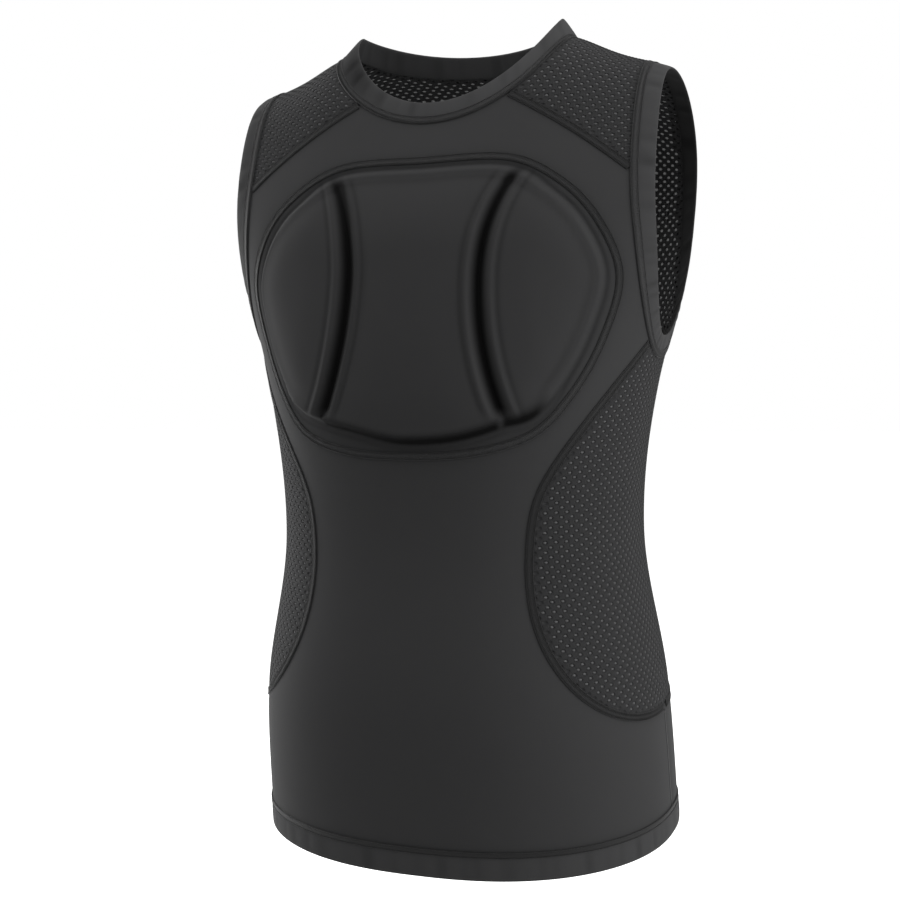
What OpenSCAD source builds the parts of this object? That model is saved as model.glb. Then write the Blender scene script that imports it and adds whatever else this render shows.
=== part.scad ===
// Sleeveless padded shirt, a chest protector: stretch panels sewn round a torso, with one
// moulded chest pad of three foam cushions. Own frame: origin at the centre of the hem,
// +Z up, the chest faces -Y, and +X is the wearer's left.

/* [Heights] */
// Shoulder line beside the neck, above the hem
shoulder_h = 632; // [620:1:660]
// Hip level
hip_h = 120; // [105:1:140]
// Waist level, the narrowest part
waist_h = 240; // [215:1:265]
// Rib level
rib_h = 360; // [335:1:380]
// Chest level
chest_h = 470; // [450:1:480]

/* [Widths] */
// Width of the hem
hem_w = 338; // [310:1:370]
// Width at the hips
hip_w = 326; // [305:1:350]
// Width at the waist
waist_w = 290; // [265:1:310]
// Width at the ribs
rib_w = 316; // [300:1:330]
// Width of the trunk at chest level, arms included
chest_w = 388; // [370:1:410]
// Distance between the two armhole edges
armhole_gap = 348; // [336:1:356]
// Height of the armhole's lowest point
armhole_low_h = 396; // [390:1:408]
// How far the shoulder line sags between the neck and the armhole
shoulder_sag = 3.5; // [0:0.5:5]

/* [Depths] */
// Depth of the hem, front half
hem_front = 124; // [110:1:140]
// Depth at the hips, front half
hip_front = 126; // [112:1:140]
// Depth at the waist, front half
waist_front = 113; // [100:1:125]
// Depth at the ribs, front half
rib_front = 115; // [105:1:125]
// Depth at the chest, front half
chest_front = 103; // [92:1:112]
// Depth of the hem, back half
hem_back = 124; // [110:1:140]
// Depth at the hips, back half
hip_back = 122; // [110:1:135]
// Depth at the waist, back half
waist_back = 113; // [100:1:125]
// Depth at the ribs, back half
rib_back = 120; // [110:1:130]
// Depth at the chest, back half
chest_back = 127; // [115:1:138]
// How far the hem dips at the front
hem_dip = 8; // [0:0.5:12]

/* [Neck] */
// Half width of the neck opening
neck_half_w = 85.5; // [80:0.5:90]
// Drop from the neck points to the front of the neck edge
neck_drop_front = 66; // [58:1:74]
// Drop from the neck points to the back of the neck edge
neck_drop_back = 14; // [8:1:22]
// Height of the neck points above the shoulder line
neck_rise = 14; // [10:1:18]
// Width of the neck band, where it crosses the front
neck_band_w = 11.5; // [10:0.5:15]

/* [Bands] */
// Width of the armhole binding
binding_w = 15; // [11:0.5:18]
// Height of the turned-up hem
hem_w_up = 20; // [14:0.5:24]
// Width of a flatlock seam
flatlock_w = 6.5; // [4:0.5:8]

/* [Cloth] */
// Thickness of the panels
cloth_t = 1.2; // [0.8:0.1:1.6]
// Thickness of the doubled bands
band_t = 2; // [1.4:0.1:2.6]
// Thickness of a flatlock seam
flatlock_t = 0.7; // [0.5:0.1:1]
// Clearance between neighbouring pieces
seam_gap = 0.3; // [0.2:0.05:0.4]

/* [Chest pad] */
// Half width of the pad
pad_half_w = 150; // [142:1:154]
// Height of the pad's widest place above the hem
pad_wide_h = 444; // [434:1:452]
// Rise from the widest place to the pad's top edge
pad_up = 90; // [84:1:94]
// Drop from the widest place to the pad's bottom edge
pad_down = 131; // [118:1:140]
// Height of the foam above the cloth
pad_raise = 9.5; // [7:0.5:13]
// Width of the flat rim round the foam
pad_rim = 8; // [5:0.5:9]
// Width of the foam's sloping edge
pad_bevel = 9; // [6:0.5:11]
// Half distance between the two grooves at their closest
groove_half_gap = 51.5; // [44:0.5:60]
// Radius of the arc that each groove follows, above its closest place
groove_r_up = 155; // [140:5:230]
// Radius of the arc that each groove follows, below its closest place
groove_r_down = 275; // [220:5:320]
// Width of a groove
groove_w = 14; // [9:0.5:17]
// Share of the foam height that a groove goes down
groove_share = 0.85; // [0.5:0.05:0.9]

/* [Side mesh] */
// Height of the side mesh's lowest point
mesh_low_h = 105; // [92:1:120]
// Height of the place where the side mesh is widest
mesh_wide_h = 225; // [210:1:240]
// Angle from the side to the mesh's front edge, at its widest place
mesh_reach = 57; // [50:1:62]

/* [Yokes] */
// Distance from the middle to the front yoke seam, at the neck
yoke_in = 59; // [52:1:66]
// Height of the back yoke seam in the middle of the back
yoke_back_h = 372; // [345:1:390]

/* [Hidden] */

// Colours of the knit, the mesh and the thread
knit_colour = [0.19, 0.19, 0.2];
mesh_colour = [0.26, 0.26, 0.27];
thread_colour = [0.1, 0.1, 0.11];
foam_colour = [0.35, 0.35, 0.36];

// The trunk is squarer than an ellipse: exponents of its plan and of its shoulders
plan_n = 2.4;
shoulder_n = 2.2;
// Above this height the trunk starts to close over the shoulders
close_h = chest_h + 13;
// Nominal height given to the shoulder ridge in the surface's own coordinates
ridge_h = shoulder_h + 8;
// The shoulder line: level for neck_flat from the middle, then falling at this slope
neck_flat = neck_half_w + 9.5;
shoulder_slope = 0.41;
shoulder_blend = 8;
// Three levels above the chest, where the trunk widens towards the arms and the back rounds
upper_rise = [90, 180, 270];
levels = concat([0, hip_h, waist_h, rib_h, chest_h], [for (r = upper_rise) chest_h + r]);
half_widths = concat([hem_w, hip_w, waist_w, rib_w, chest_w] / 2, [for (g = [37, 51, 55]) chest_w / 2 + g]);
fronts = concat([hem_front, hip_front, waist_front, rib_front, chest_front],
    [for (g = [-15, -13, -5]) chest_front + g]);
backs = concat([hem_back, hip_back, waist_back, rib_back, chest_back], [for (g = [3, -6, -20]) chest_back + g]);
centres = [-1, -7, -3, 4, 14, 25, 25, 26];

// ---- the torso surface ----

function last(list) = list[len(list) - 1];
function mix(a, b, t) = a * (1 - t) + b * t;
function reversed(list) = [for (i = [len(list) - 1:-1:0]) list[i]];
function power(base, exponent) = sign(base) * pow(abs(base), exponent);

// Slope of a list of values at level i
function slope_at(v, i) = let (a = max(i - 1, 0), b = min(i + 1, len(v) - 1))
    (v[b] - v[a]) / (levels[b] - levels[a]);
// Smooth curve through the values of the levels
function along(v, h, i = 0) =
    i < len(levels) - 2 && h > levels[i + 1] ? along(v, h, i + 1) :
    let (d = levels[i + 1] - levels[i], t = min(max((h - levels[i]) / d, 0), 1))
    (2 * t ^ 3 - 3 * t ^ 2 + 1) * v[i] + (t ^ 3 - 2 * t ^ 2 + t) * d * slope_at(v, i)
    + (3 * t ^ 2 - 2 * t ^ 3) * v[i + 1] + (t ^ 3 - t ^ 2) * d * slope_at(v, i + 1);
function half_w(h) = along(half_widths, h);
arm_x = armhole_gap / 2;
sag_from = neck_flat - 9;
sag_span = arm_x + 2 - sag_from;
function sag_turn(x) = 180 * min(1, max(0, (abs(x) - sag_from) / sag_span));
// Height of the shoulder ridge at x
function ridge(x) = shoulder_h - shoulder_sag * pow(sin(sag_turn(x)), 2)
    - shoulder_slope * shoulder_blend * ln(1 + exp((abs(x) - neck_flat) / shoulder_blend));

// A place on the torso is [angle, height]: 0 is the front, 90 the wearer's left, 180 the back.
// Over the shoulders the height stands for the turn from close_h up to the ridge.
function turn(h) = h <= close_h ? 0 : 90 * min(1, (h - close_h) / (ridge_h - close_h));
function torso(p) =
    let (
        x = half_w(p[1]) * power(sin(p[0]), 2 / plan_n),
        z = p[1] <= close_h ? p[1] : close_h + (ridge(x) - close_h) * pow(sin(turn(p[1])), 2 / shoulder_n),
        depth = along(cos(p[0]) > 0 ? fronts : backs, z),
        reach = pow(max(0, 1 - pow(abs(x) / half_w(z), plan_n)), 1 / plan_n) * pow(cos(turn(p[1])), 2 / shoulder_n),
        dip = hem_dip * pow(max(0, cos(p[0])), 2) * max(0, 1 - p[1] / (1.25 * hip_h))
    )
    [x, along(centres, z) - sign(cos(p[0])) * depth * reach, z - dip];
// Place on the front (side = 1) or the back (side = -1) that is seen at x and z from the front
function place(x, z, side = 1) =
    let (
        t = min(1, max(0, (z - close_h) / (ridge(x) - close_h))),
        h = z <= close_h ? z : close_h + (ridge_h - close_h) * asin(pow(t, shoulder_n / 2)) / 90,
        a = asin(min(1, pow(abs(x) / half_w(h), plan_n / 2))) * (x < 0 ? -1 : 1)
    )
    [side > 0 ? a : 180 - a, h];

// Steps for the slopes of the surface, in degrees and millimetres
da = 0.4;
dh = 0.4;
function slope_a(p) = (torso(p + [da, 0]) - torso(p - [da, 0])) / (2 * da);
function slope_h(p) = let (q = [p[0], min(p[1], ridge_h - dh)])
    (torso(q + [0, dh]) - torso(q - [0, dh])) / (2 * dh);
function unit(v) = v / norm(v);
function ridge_slope(x) = -sign(x) * (shoulder_sag * sin(2 * sag_turn(x)) * PI / sag_span
    + shoulder_slope / (1 + exp((neck_flat - abs(x)) / shoulder_blend)));
function outward(p) = p[1] < ridge_h - 2 * dh ? unit(cross(slope_a(p), slope_h(p)))
    : unit([-ridge_slope(torso(p)[0]), 0, 1]);
// Point that stands off the torso by a distance
function above(p, off) = torso(p) + off * outward(p);

// Moves each place of a curve sideways on the surface, to the left of its run
function shifted(c, d, closed = false) = [for (i = [0:len(c) - 1])
    let (
        n = len(c),
        before = closed ? c[(i - 1 + n - 1) % (n - 1)] : c[max(i - 1, 0)],
        after = closed ? c[(i + 1) % (n - 1)] : c[min(i + 1, n - 1)],
        run = torso(after) - torso(before),
        a = slope_a(c[i]),
        h = slope_h(c[i]),
        left = unit(cross(cross(a, h), run)) * d,
        det = (a * a) * (h * h) - (a * h) ^ 2,
        step = [(left * a) * (h * h) - (left * h) * (a * h), (left * h) * (a * a) - (left * a) * (a * h)] / det
    )
    [c[i][0] + step[0], min(ridge_h, c[i][1] + step[1])]];
function mirrored(c) = [for (p = c) [-p[0], p[1]]];

// ---- seams, as lists of places; the lists are shared by the pieces on both sides ----

// Number of steps along the parts of the seams
side_steps = 14;
split_i = 12;
yoke_steps = 5;
link_steps = 4;
low_steps = 3;

// The armhole's edge draws in under the arm, to the trunk's side at its lowest point
arm_turn = 85;
arm_in = arm_x - half_w(armhole_low_h);
function arm_edge_x(h) = arm_x - arm_in * pow(max(0, 1 - (h - armhole_low_h) / arm_turn), 2);
function arm_angle(h) = asin(min(1, pow(arm_edge_x(h) / half_w(h), plan_n / 2)));
// Height on the armhole for a share of the way from its lowest point to the shoulder
function arm_height(t) = armhole_low_h + (ridge_h - armhole_low_h) * (1 - cos(90 * t));
// Shares at which the side mesh, the body panels and the yokes meet the binding
mesh_share = 0.165;
yoke_share = 0.64;
mesh_i = 3;
back_i = 4;
yoke_i = 9;
share_n = 14;
arm_shares = concat([for (i = [0:mesh_i]) mesh_share * i / mesh_i],
    [for (i = [1:yoke_i - mesh_i]) mix(mesh_share, yoke_share, i / (yoke_i - mesh_i))],
    [for (i = [1:share_n - yoke_i]) mix(yoke_share, 1, i / (share_n - yoke_i))]);
front_arm = [for (s = arm_shares) let (h = arm_height(s)) [arm_angle(h), h]];
back_arm = [for (p = front_arm) [180 - p[0], p[1]]];
// Round the left armhole: up the front from the lowest point, and down the back
armhole = concat(reversed(back_arm), [for (i = [1:share_n]) front_arm[i]]);
function pinned(c, x) = let (a = asin(pow(x / half_w(ridge_h), plan_n / 2)), n = len(c))
    [for (i = [0:n - 1]) i == 0 ? [180 - a, ridge_h] : i == n - 1 ? [a, ridge_h] : c[i]];
// Edge of the binding, or of a panel that meets it, at a distance from the armhole's edge
function arm_line(d) = pinned(shifted(armhole, d), arm_x - d);
// The same line as a back part and a front part, each from the lowest point to the shoulder
function arm_front(d) = let (c = arm_line(d)) [for (i = [share_n:2 * share_n]) c[i]];
function arm_back(d) = let (c = arm_line(d)) [for (i = [share_n:-1:0]) c[i]];
function part_of(c, from, to) = [for (i = [from:to]) c[i]];

// Front edge of the side mesh: a quarter of an ellipse, then a line that bends out to the armhole
mesh_bend_h = 283;
mesh_bend = 26;
mesh_slope = 0.165;
mesh_fullness = 0.82;
function bend_of(h) = mesh_slope * (h - mesh_bend_h + sqrt((h - mesh_bend_h) ^ 2 + mesh_bend ^ 2));
quarter_steps = 5;
side_low_part = [for (i = [0:quarter_steps]) let (a = 90 * i / quarter_steps)
    [90 - mesh_reach * pow(sin(a), mesh_fullness),
    mesh_wide_h - (mesh_wide_h - mesh_low_h) * pow(cos(a), mesh_fullness)]];
function side_high_part(to) =
    let (from = last(side_low_part), wide = bend_of(mesh_wide_h), miss = to[0] - from[0] - bend_of(to[1]) + wide)
    [for (i = [1:side_steps]) let (t = i / side_steps, h = mix(from[1], to[1], t))
        [from[0] + bend_of(h) - wide + miss * t ^ 3, h]];
function side_line(to) = concat(side_low_part, side_high_part(to));
side_front = side_line(arm_front(binding_w)[mesh_i]);
side_back = [for (p = side_line([180 - arm_back(binding_w)[mesh_i][0], arm_back(binding_w)[mesh_i][1]]))
    [180 - p[0], p[1]]];
side_low = [for (i = [0:low_steps]) [90, mix(hem_w_up, mesh_low_h, i / low_steps)]];

// Seam of the neck band, from the front round the wearer's left; closed
neck_seam_x = neck_half_w + 9.5;
neck_bow = 1.4;
neck_seam_front = neck_drop_front - neck_rise + neck_band_w;
neck_seam_back = neck_drop_back - neck_rise + neck_band_w + 3;
function neck_place(a) =
    let (c = abs(cos(a)), x = neck_seam_x * sin(a), drop = cos(a) > 0 ? neck_seam_front : neck_seam_back)
    abs(cos(a)) < 0.001 ? place(x, ridge(x), 1) : place(x, ridge(neck_seam_x) - drop * pow(c, neck_bow), sign(cos(a)));
// The front yoke seam meets the neck seam at this angle
yoke_angle = asin(yoke_in / neck_seam_x);
neck_angles = concat([for (i = [0:3]) yoke_angle * i / 4], [for (i = [0:4]) mix(yoke_angle, 90, i / 5)],
    [for (i = [0:6]) 90 + 90 * i / 6]);
neck_yoke_i = 4;
neck_ridge_i = 9;
neck_half = [for (a = neck_angles) neck_place(a)];

// Front yoke seam, from the neck to the armhole, with a slight bow
yoke_bow = 4;
function yoke_line(from, to) = let (a = torso(from), b = torso(to))
    [for (i = [0:yoke_steps]) let (t = i / yoke_steps)
        i == 0 ? from : i == yoke_steps ? to :
        place(mix(a[0], b[0], t), mix(a[2], b[2], t) + yoke_bow * 4 * t * (1 - t))];
yoke_front = yoke_line(neck_half[neck_yoke_i], arm_front(binding_w)[yoke_i]);
// Shoulder seam, on the ridge, from the neck to the armhole
function ridge_place(x, side = 1) = [side > 0 ? asin(pow(x / half_w(ridge_h), plan_n / 2))
    : 180 - asin(pow(x / half_w(ridge_h), plan_n / 2)), ridge_h];
function shoulder(side, from = neck_seam_x, to = arm_x - binding_w) =
    [for (i = [0:yoke_steps]) ridge_place(mix(from, to, i / yoke_steps), side)];

// Back yoke seam, from the wearer's left to the right
back_steps = 22;
back_corner = arm_back(binding_w)[back_i];
yoke_back = [for (i = [0:back_steps]) let (t = i / back_steps)
    [mix(back_corner[0], 360 - back_corner[0], t), mix(yoke_back_h, back_corner[1], (2 * t - 1) ^ 2)]];

// ---- the pad's outline and its relief ----

// Outline of the pad's left half, as [x, height from the widest place], top to bottom
pad_points = [[0, 1], [0.45, 0.985], [0.72, 0.775], [0.905, 0.45], [1, 0], [0.925, -0.35],
    [0.785, -0.67], [0.61, -0.885], [0.33, -0.98], [0, -1]];
function pad_knot(i) =
    let (n = len(pad_points) - 1, k = i < 0 ? -i : i > n ? 2 * n - i : i, p = pad_points[k], s = i < 0 || i > n ? -1 : 1)
    [s * p[0] * pad_half_w, pad_wide_h + (p[1] > 0 ? p[1] * pad_up : p[1] * pad_down)];
function pad_edge(t) =
    let (n = len(pad_points) - 1, i = min(floor(t), n - 1), u = t - i,
        a = pad_knot(i - 1), b = pad_knot(i), c = pad_knot(i + 1), d = pad_knot(i + 2))
    0.5 * (2 * b + (c - a) * u + (2 * a - 5 * b + 4 * c - d) * u ^ 2 + (3 * b - a - 3 * c + d) * u ^ 3);
// Places along the outline, counted in knots, of the groove's ends and of the two corners
groove_top_t = 1.25;
corner_top_t = 2.2;
corner_low_t = 6.45;
groove_low_t = 7.3;
outline_xz = [for (i = [0:60]) pad_edge(9 * i / 60)];
// Shares of the way across one foam cushion and up the pad, closer together at its edges
side_shares = [0, 0.06, 0.18, 0.5, 0.77, 0.91, 1];
mid_shares = [0, 0.06, 0.2, 0.5, 0.8, 0.94, 1];
up_shares = [0, 0.028, 0.075, 0.14, 0.22, 0.33, 0.45, 0.57, 0.69, 0.79, 0.87, 0.925, 0.972, 1];

function groove_x(z) = let (r = z > pad_wide_h ? groove_r_up : groove_r_down, k = z - pad_wide_h)
    groove_half_gap + r - sqrt(r ^ 2 - k ^ 2);
function distance_to(p, a, b) =
    let (d = b - a, t = min(1, max(0, (p - a) * d / (d * d)))) norm(p - a - d * t);
function rim_distance(p) = min([for (i = [0:len(outline_xz) - 2]) distance_to([abs(p[0]), p[1]], outline_xz[i], outline_xz[i + 1])]);
function rounded(t) = let (u = min(1, max(0, t))) sqrt(1 - (1 - u) ^ 2);
function eased(t) = let (u = min(1, max(0, t))) u * u * (3 - 2 * u);
// Height of the cover above the cloth at x and z
function relief(p) =
    let (
        rim = eased((rim_distance(p) - pad_rim) / pad_bevel),
        groove = rounded(abs(abs(p[0]) - groove_x(p[1])) / (groove_w / 2) * 0.9)
    )
    pad_raise * rim * (1 - groove_share * (1 - groove));

// Patch between four lists of places in the elevation, which share their corners
function patch(bottom, top, left, right) =
    let (n = len(bottom) - 1, m = len(left) - 1, l0 = left[0], l1 = left[m], r0 = right[0], r1 = right[m])
    [for (j = [0:m]) let (v = j / m) [for (i = [0:n]) let (u = i / n)
        mix(bottom[i], top[i], v) + mix(left[j], right[j], u)
        - mix(mix(l0, r0, u), mix(l1, r1, u), v)]];

// The pad's lines, in the elevation: three columns of cushions
low_side = [for (s = side_shares) pad_edge(mix(corner_low_t, groove_low_t, s))];
top_side = [for (s = side_shares) pad_edge(mix(corner_top_t, groove_top_t, s))];
outer_side = [for (s = up_shares) pad_edge(mix(corner_low_t, corner_top_t, s))];
groove_side = let (a = last(low_side), b = last(top_side), ga = groove_x(a[1]), gb = groove_x(b[1]))
    [for (s = up_shares) let (z = mix(a[1], b[1], s)) [groove_x(z) + mix(a[0] - ga, b[0] - gb, s), z]];
function flip_x(c) = [for (p = c) [-p[0], p[1]]];
function share_patch(bottom, top, left, right, us, vs) =
    [for (j = [0:len(vs) - 1]) [for (i = [0:len(us) - 1])
        let (u = us[i], v = vs[j])
        mix(bottom[i], top[i], v) + mix(left[j], right[j], u)
        - mix(mix(left[0], right[0], u), mix(last(left), last(right), u), v)]];
// Grids of the three cushions, rows from the bottom, columns from the wearer's right
left_grid = share_patch(reversed(low_side), reversed(top_side), groove_side, outer_side,
    [for (s = reversed(side_shares)) 1 - s], up_shares);
right_grid = [for (row = left_grid) reversed(flip_x(row))];
function mid_edge(middle_t, end_t, s) = let (p = pad_edge(mix(middle_t, end_t, abs(2 * s - 1)))) s < 0.5 ? [-p[0], p[1]] : p;
mid_low = [for (s = mid_shares) mid_edge(len(pad_points) - 1, groove_low_t, s)];
mid_top = [for (s = mid_shares) mid_edge(0, groove_top_t, s)];
centre_grid = share_patch(mid_low, mid_top, flip_x(groove_side), groove_side, mid_shares, up_shares);

function on_torso(grid) = [for (row = grid) [for (p = row) place(p[0], p[1])]];
function raised(grid, off) = [for (row = grid) [for (p = row) above(place(p[0], p[1]), off + relief(p))]];
function laid(grid, off) = [for (row = grid) [for (p = row) above(p, off)]];

// The pad's outline along its bottom and its top, from the wearer's right to the left
function rest_of(c) = [for (i = [1:len(c) - 1]) c[i]];
pad_low_line = concat(flip_x(low_side), rest_of(mid_low), rest_of(reversed(low_side)));
pad_top_line = concat(flip_x(top_side), rest_of(mid_top), rest_of(reversed(top_side)));
function places(c) = [for (p = c) place(p[0], p[1])];
// The whole outline, closed, from the lower corner on the wearer's right
pad_ring = places(concat(pad_low_line, rest_of(outer_side), rest_of(reversed(pad_top_line)),
    rest_of(reversed(flip_x(outer_side)))));

// ---- building solids from grids of points ----

// Each skin is [outer grid, inner grid, walls], walls on the bottom, right, top and left edges.
// Where the top edge has no wall, entries [a, b] after them wall it from column a to column b.
function in_slot(walls, from, to) = len([for (k = [4:1:len(walls) - 1]) if (from >= walls[k][0] && to <= walls[k][1]) 1]) > 0;
// Each cell of a grid is split along its shorter diagonal
function rising(g, j, i) = norm(g[j][i] - g[j + 1][i + 1]) < norm(g[j + 1][i] - g[j][i + 1]) + 0.001;
module solid(skins) {
    function rounded_point(p) = [for (c = p) round(c * 10000) / 10000];
    function start(k) = k == 0 ? 0 : start(k - 1) + 2 * len(skins[k - 1][0]) * len(skins[k - 1][0][0]);
    points = [for (s = skins) each concat([for (row = s[0]) each row], [for (row = s[1]) each row])];
    faces = [for (k = [0:len(skins) - 1])
        let (m = len(skins[k][0]) - 1, n = len(skins[k][0][0]) - 1, o = start(k), w = n + 1,
            b = o + (m + 1) * w, walls = skins[k][2])
        each concat(
            [for (j = [0:m - 1], i = [0:n - 1]) let (a = o + j * w + i)
                each rising(skins[k][0], j, i) ? [[a, a + w, a + w + 1], [a, a + w + 1, a + 1]]
                : [[a, a + w, a + 1], [a + 1, a + w, a + w + 1]]],
            [for (j = [0:m - 1], i = [0:n - 1]) let (a = b + j * w + i)
                each rising(skins[k][0], j, i) ? [[a, a + w + 1, a + w], [a, a + 1, a + w + 1]]
                : [[a, a + 1, a + w], [a + 1, a + w + 1, a + w]]],
            walls[0] ? [for (i = [0:n - 1]) each [[o + i, o + i + 1, b + i + 1], [o + i, b + i + 1, b + i]]] : [],
            walls[1] ? [for (j = [0:m - 1]) let (a = o + j * w + n, c = b + j * w + n)
                each [[a, a + w, c + w], [a, c + w, c]]] : [],
            [for (i = [0:n - 1]) let (a = o + m * w + i, c = b + m * w + i)
                if (walls[2] || in_slot(walls, i, i + 1))
                each [[a, c, c + 1], [a, c + 1, a + 1]]],
            walls[3] ? [for (j = [0:m - 1]) let (a = o + j * w, c = b + j * w)
                each [[a, c, c + w], [a, c + w, a + w]]] : [])];
    polyhedron([for (p = points) rounded_point(p)], faces);
}
all_walls = [true, true, true, true];
ring_walls = [true, false, true, false];
module sheet(grid, low = 0, high = cloth_t, walls = all_walls) {
    solid([[laid(grid, high), laid(grid, low), walls]]);
}
// Flat seam of thread along a curve, over cloth of the given thickness
module flatlock(curve, over = cloth_t, closed = false) {
    low = over + seam_gap;
    grid = [for (s = [-1, 1]) shifted(curve, s * flatlock_w / 2, closed)];
    color(thread_colour) sheet(grid, low, low + flatlock_t, closed ? ring_walls : all_walls);
}

// ---- the pieces ----

half_gap = seam_gap / 2;
// How far the doubled bands stand out of the single cloth, on each side
band_extra = (band_t - cloth_t) / 2;
// Moves the open edges of a grid inwards; flat grids hold x and z instead of places
function spot(p, flat) = flat ? p : torso(p);
function inwards(p, q, d, flat) = (q - p) * d / norm(spot(q, flat) - spot(p, flat));
function inset(g, d, walls = all_walls, flat = false) =
    let (m = len(g) - 1, n = len(g[0]) - 1)
    [for (j = [0:m]) [for (i = [0:n])
        let (before = in_slot(walls, i - 1, i) || i == 0, after = in_slot(walls, i, i + 1) || i == n,
            open = j == m && (in_slot(walls, i - 1, i) || in_slot(walls, i, i + 1)))
        g[j][i]
        + (open && before && after ? inwards(g[m][i], g[m - 1][i], d, flat) : [0, 0])
        + (open && !before ? inwards(g[m][i], g[m][i - 1], d, flat) : [0, 0])
        + (open && !after ? inwards(g[m][i], g[m][i + 1], d, flat) : [0, 0])
        + (walls[0] && j == 0 ? inwards(g[j][i], g[1][i], d, flat) : [0, 0])
        + (walls[1] && i == n ? inwards(g[j][i], g[j][n - 1], d, flat) : [0, 0])
        + (walls[2] && j == m ? inwards(g[j][i], g[m - 1][i], d, flat) : [0, 0])
        + (walls[3] && i == 0 ? inwards(g[j][i], g[j][1], d, flat) : [0, 0])]];
module panel(grids, walls = [all_walls]) {
    solid([for (k = [0:len(grids) - 1]) let (g = inset(grids[k], half_gap, walls[k]))
        [laid(g, cloth_t), laid(g, 0), walls[k]]]);
}
module left_and_right(is_left) {
    if (is_left) children();
    else mirror([1, 0, 0]) children();
}
function line(a, b, n) = [for (i = [0:n]) mix(a, b, i / n)];
function opposite(c) = [for (p = c) [360 - p[0], p[1]]];

// Lines of the front panel's four patches round the pad's window
low_corner = pad_ring[len(pad_low_line) - 1];
top_corner = place(outer_side[len(outer_side) - 1][0], outer_side[len(outer_side) - 1][1]);
low_link = line(low_corner, side_front[split_i], link_steps);
top_link = line(top_corner, arm_front(binding_w)[yoke_i], link_steps);
// The panels' hips end above where the side mesh is round, and the body starts there
round_i = 3;
body_edge = part_of(side_front, round_i, split_i);
flank_edge = concat(part_of(side_front, split_i, len(side_front) - 1),
    rest_of(part_of(arm_front(binding_w), mesh_i, yoke_i)));
neck_front = concat(reversed(mirrored(part_of(neck_half, 0, neck_yoke_i))), rest_of(part_of(neck_half, 0, neck_yoke_i)));
chest_top = concat(reversed(mirrored(yoke_front)), rest_of(neck_front), rest_of(yoke_front));
body_top = concat(reversed(mirrored(low_link)), rest_of(places(pad_low_line)), rest_of(low_link));
hem_front_line = line([-90, hem_w_up], [90, hem_w_up], len(body_top) - 1 + 2 * round_i);
hem_back_line = line([90, hem_w_up], [270, hem_w_up], back_steps + 2 * round_i);
waist_front_line = line([-side_front[round_i][0], side_front[round_i][1]], side_front[round_i], len(body_top) - 1);
waist_back_line = line(side_back[round_i], [360 - side_back[round_i][0], side_back[round_i][1]], back_steps);
hip_front_top = let (c = part_of(side_front, 0, round_i))
    concat(mirrored(c), rest_of(waist_front_line), rest_of(reversed(c)));
hip_back_top = let (c = part_of(side_back, 0, round_i))
    concat(c, rest_of(waist_back_line), rest_of(reversed(opposite(c))));
flank = patch(low_link, top_link, places(outer_side), flank_edge);
function mirrored_grid(g) = [for (row = g) reversed(mirrored(row))];

module front_body_panel() {
    hip = patch(hem_front_line, hip_front_top, mirrored(side_low), side_low);
    body = patch(waist_front_line, body_top, mirrored(body_edge), body_edge);
    top = patch(places(pad_top_line), chest_top, mirrored(top_link), top_link);
    color(knit_colour) panel([hip, body, flank, mirrored_grid(flank), top],
        [[true, true, false, true, [0, round_i], [len(hip_front_top) - 1 - round_i, len(hip_front_top) - 1]],
        [false, true, false, true, [link_steps, len(body_top) - 1 - link_steps]],
        [false, true, false, true], [false, true, false, true], [true, false, true, false]]);
}

body_back_edge = concat(part_of(side_back, round_i, len(side_back) - 1),
    rest_of(part_of(arm_back(binding_w), mesh_i, back_i)));
module back_body_panel() {
    hip = patch(hem_back_line, hip_back_top, side_low, opposite(side_low));
    body = patch(waist_back_line, yoke_back, body_back_edge, opposite(body_back_edge));
    color(knit_colour) panel([hip, body],
        [[true, true, false, true, [0, round_i], [len(hip_back_top) - 1 - round_i, len(hip_back_top) - 1]],
        [false, true, true, true]]);
}

back_arm_edge = part_of(arm_back(binding_w), back_i, share_n);
neck_back = part_of(neck_half, neck_ridge_i, len(neck_half) - 1);
back_top_half = concat(reversed(shoulder(-1)), rest_of(back_place_start(neck_back)));
function back_place_start(c) = [for (i = [0:len(c) - 1]) i == 0 ? ridge_place(neck_seam_x, -1) : c[i]];
module back_yoke() {
    top = concat(back_top_half, rest_of(reversed(opposite(back_top_half))));
    color(mesh_colour) panel([patch(yoke_back, top, back_arm_edge, opposite(back_arm_edge))]);
}

module front_yoke(is_left) {
    neck_side = part_of(neck_half, neck_yoke_i, neck_ridge_i);
    arm_side = part_of(arm_front(binding_w), yoke_i, share_n);
    left_and_right(is_left) color(mesh_colour)
        panel([patch(yoke_front, shoulder(1), neck_side, arm_side)]);
}
module front_yoke_left() { front_yoke(true); }
module front_yoke_right() { front_yoke(false); }

// The side mesh is rounded below, where its front and back edges meet
module side_mesh(is_left) {
    low = concat(reversed(part_of(side_front, 0, round_i)), rest_of(part_of(side_back, 0, round_i)));
    top = concat(reversed(part_of(arm_front(binding_w), 0, mesh_i)), rest_of(part_of(arm_back(binding_w), 0, mesh_i)));
    left_and_right(is_left) color(mesh_colour)
        panel([patch(low, top, part_of(side_front, round_i, len(side_front) - 1),
            part_of(side_back, round_i, len(side_back) - 1))]);
}
module side_mesh_left() { side_mesh(true); }
module side_mesh_right() { side_mesh(false); }

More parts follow.
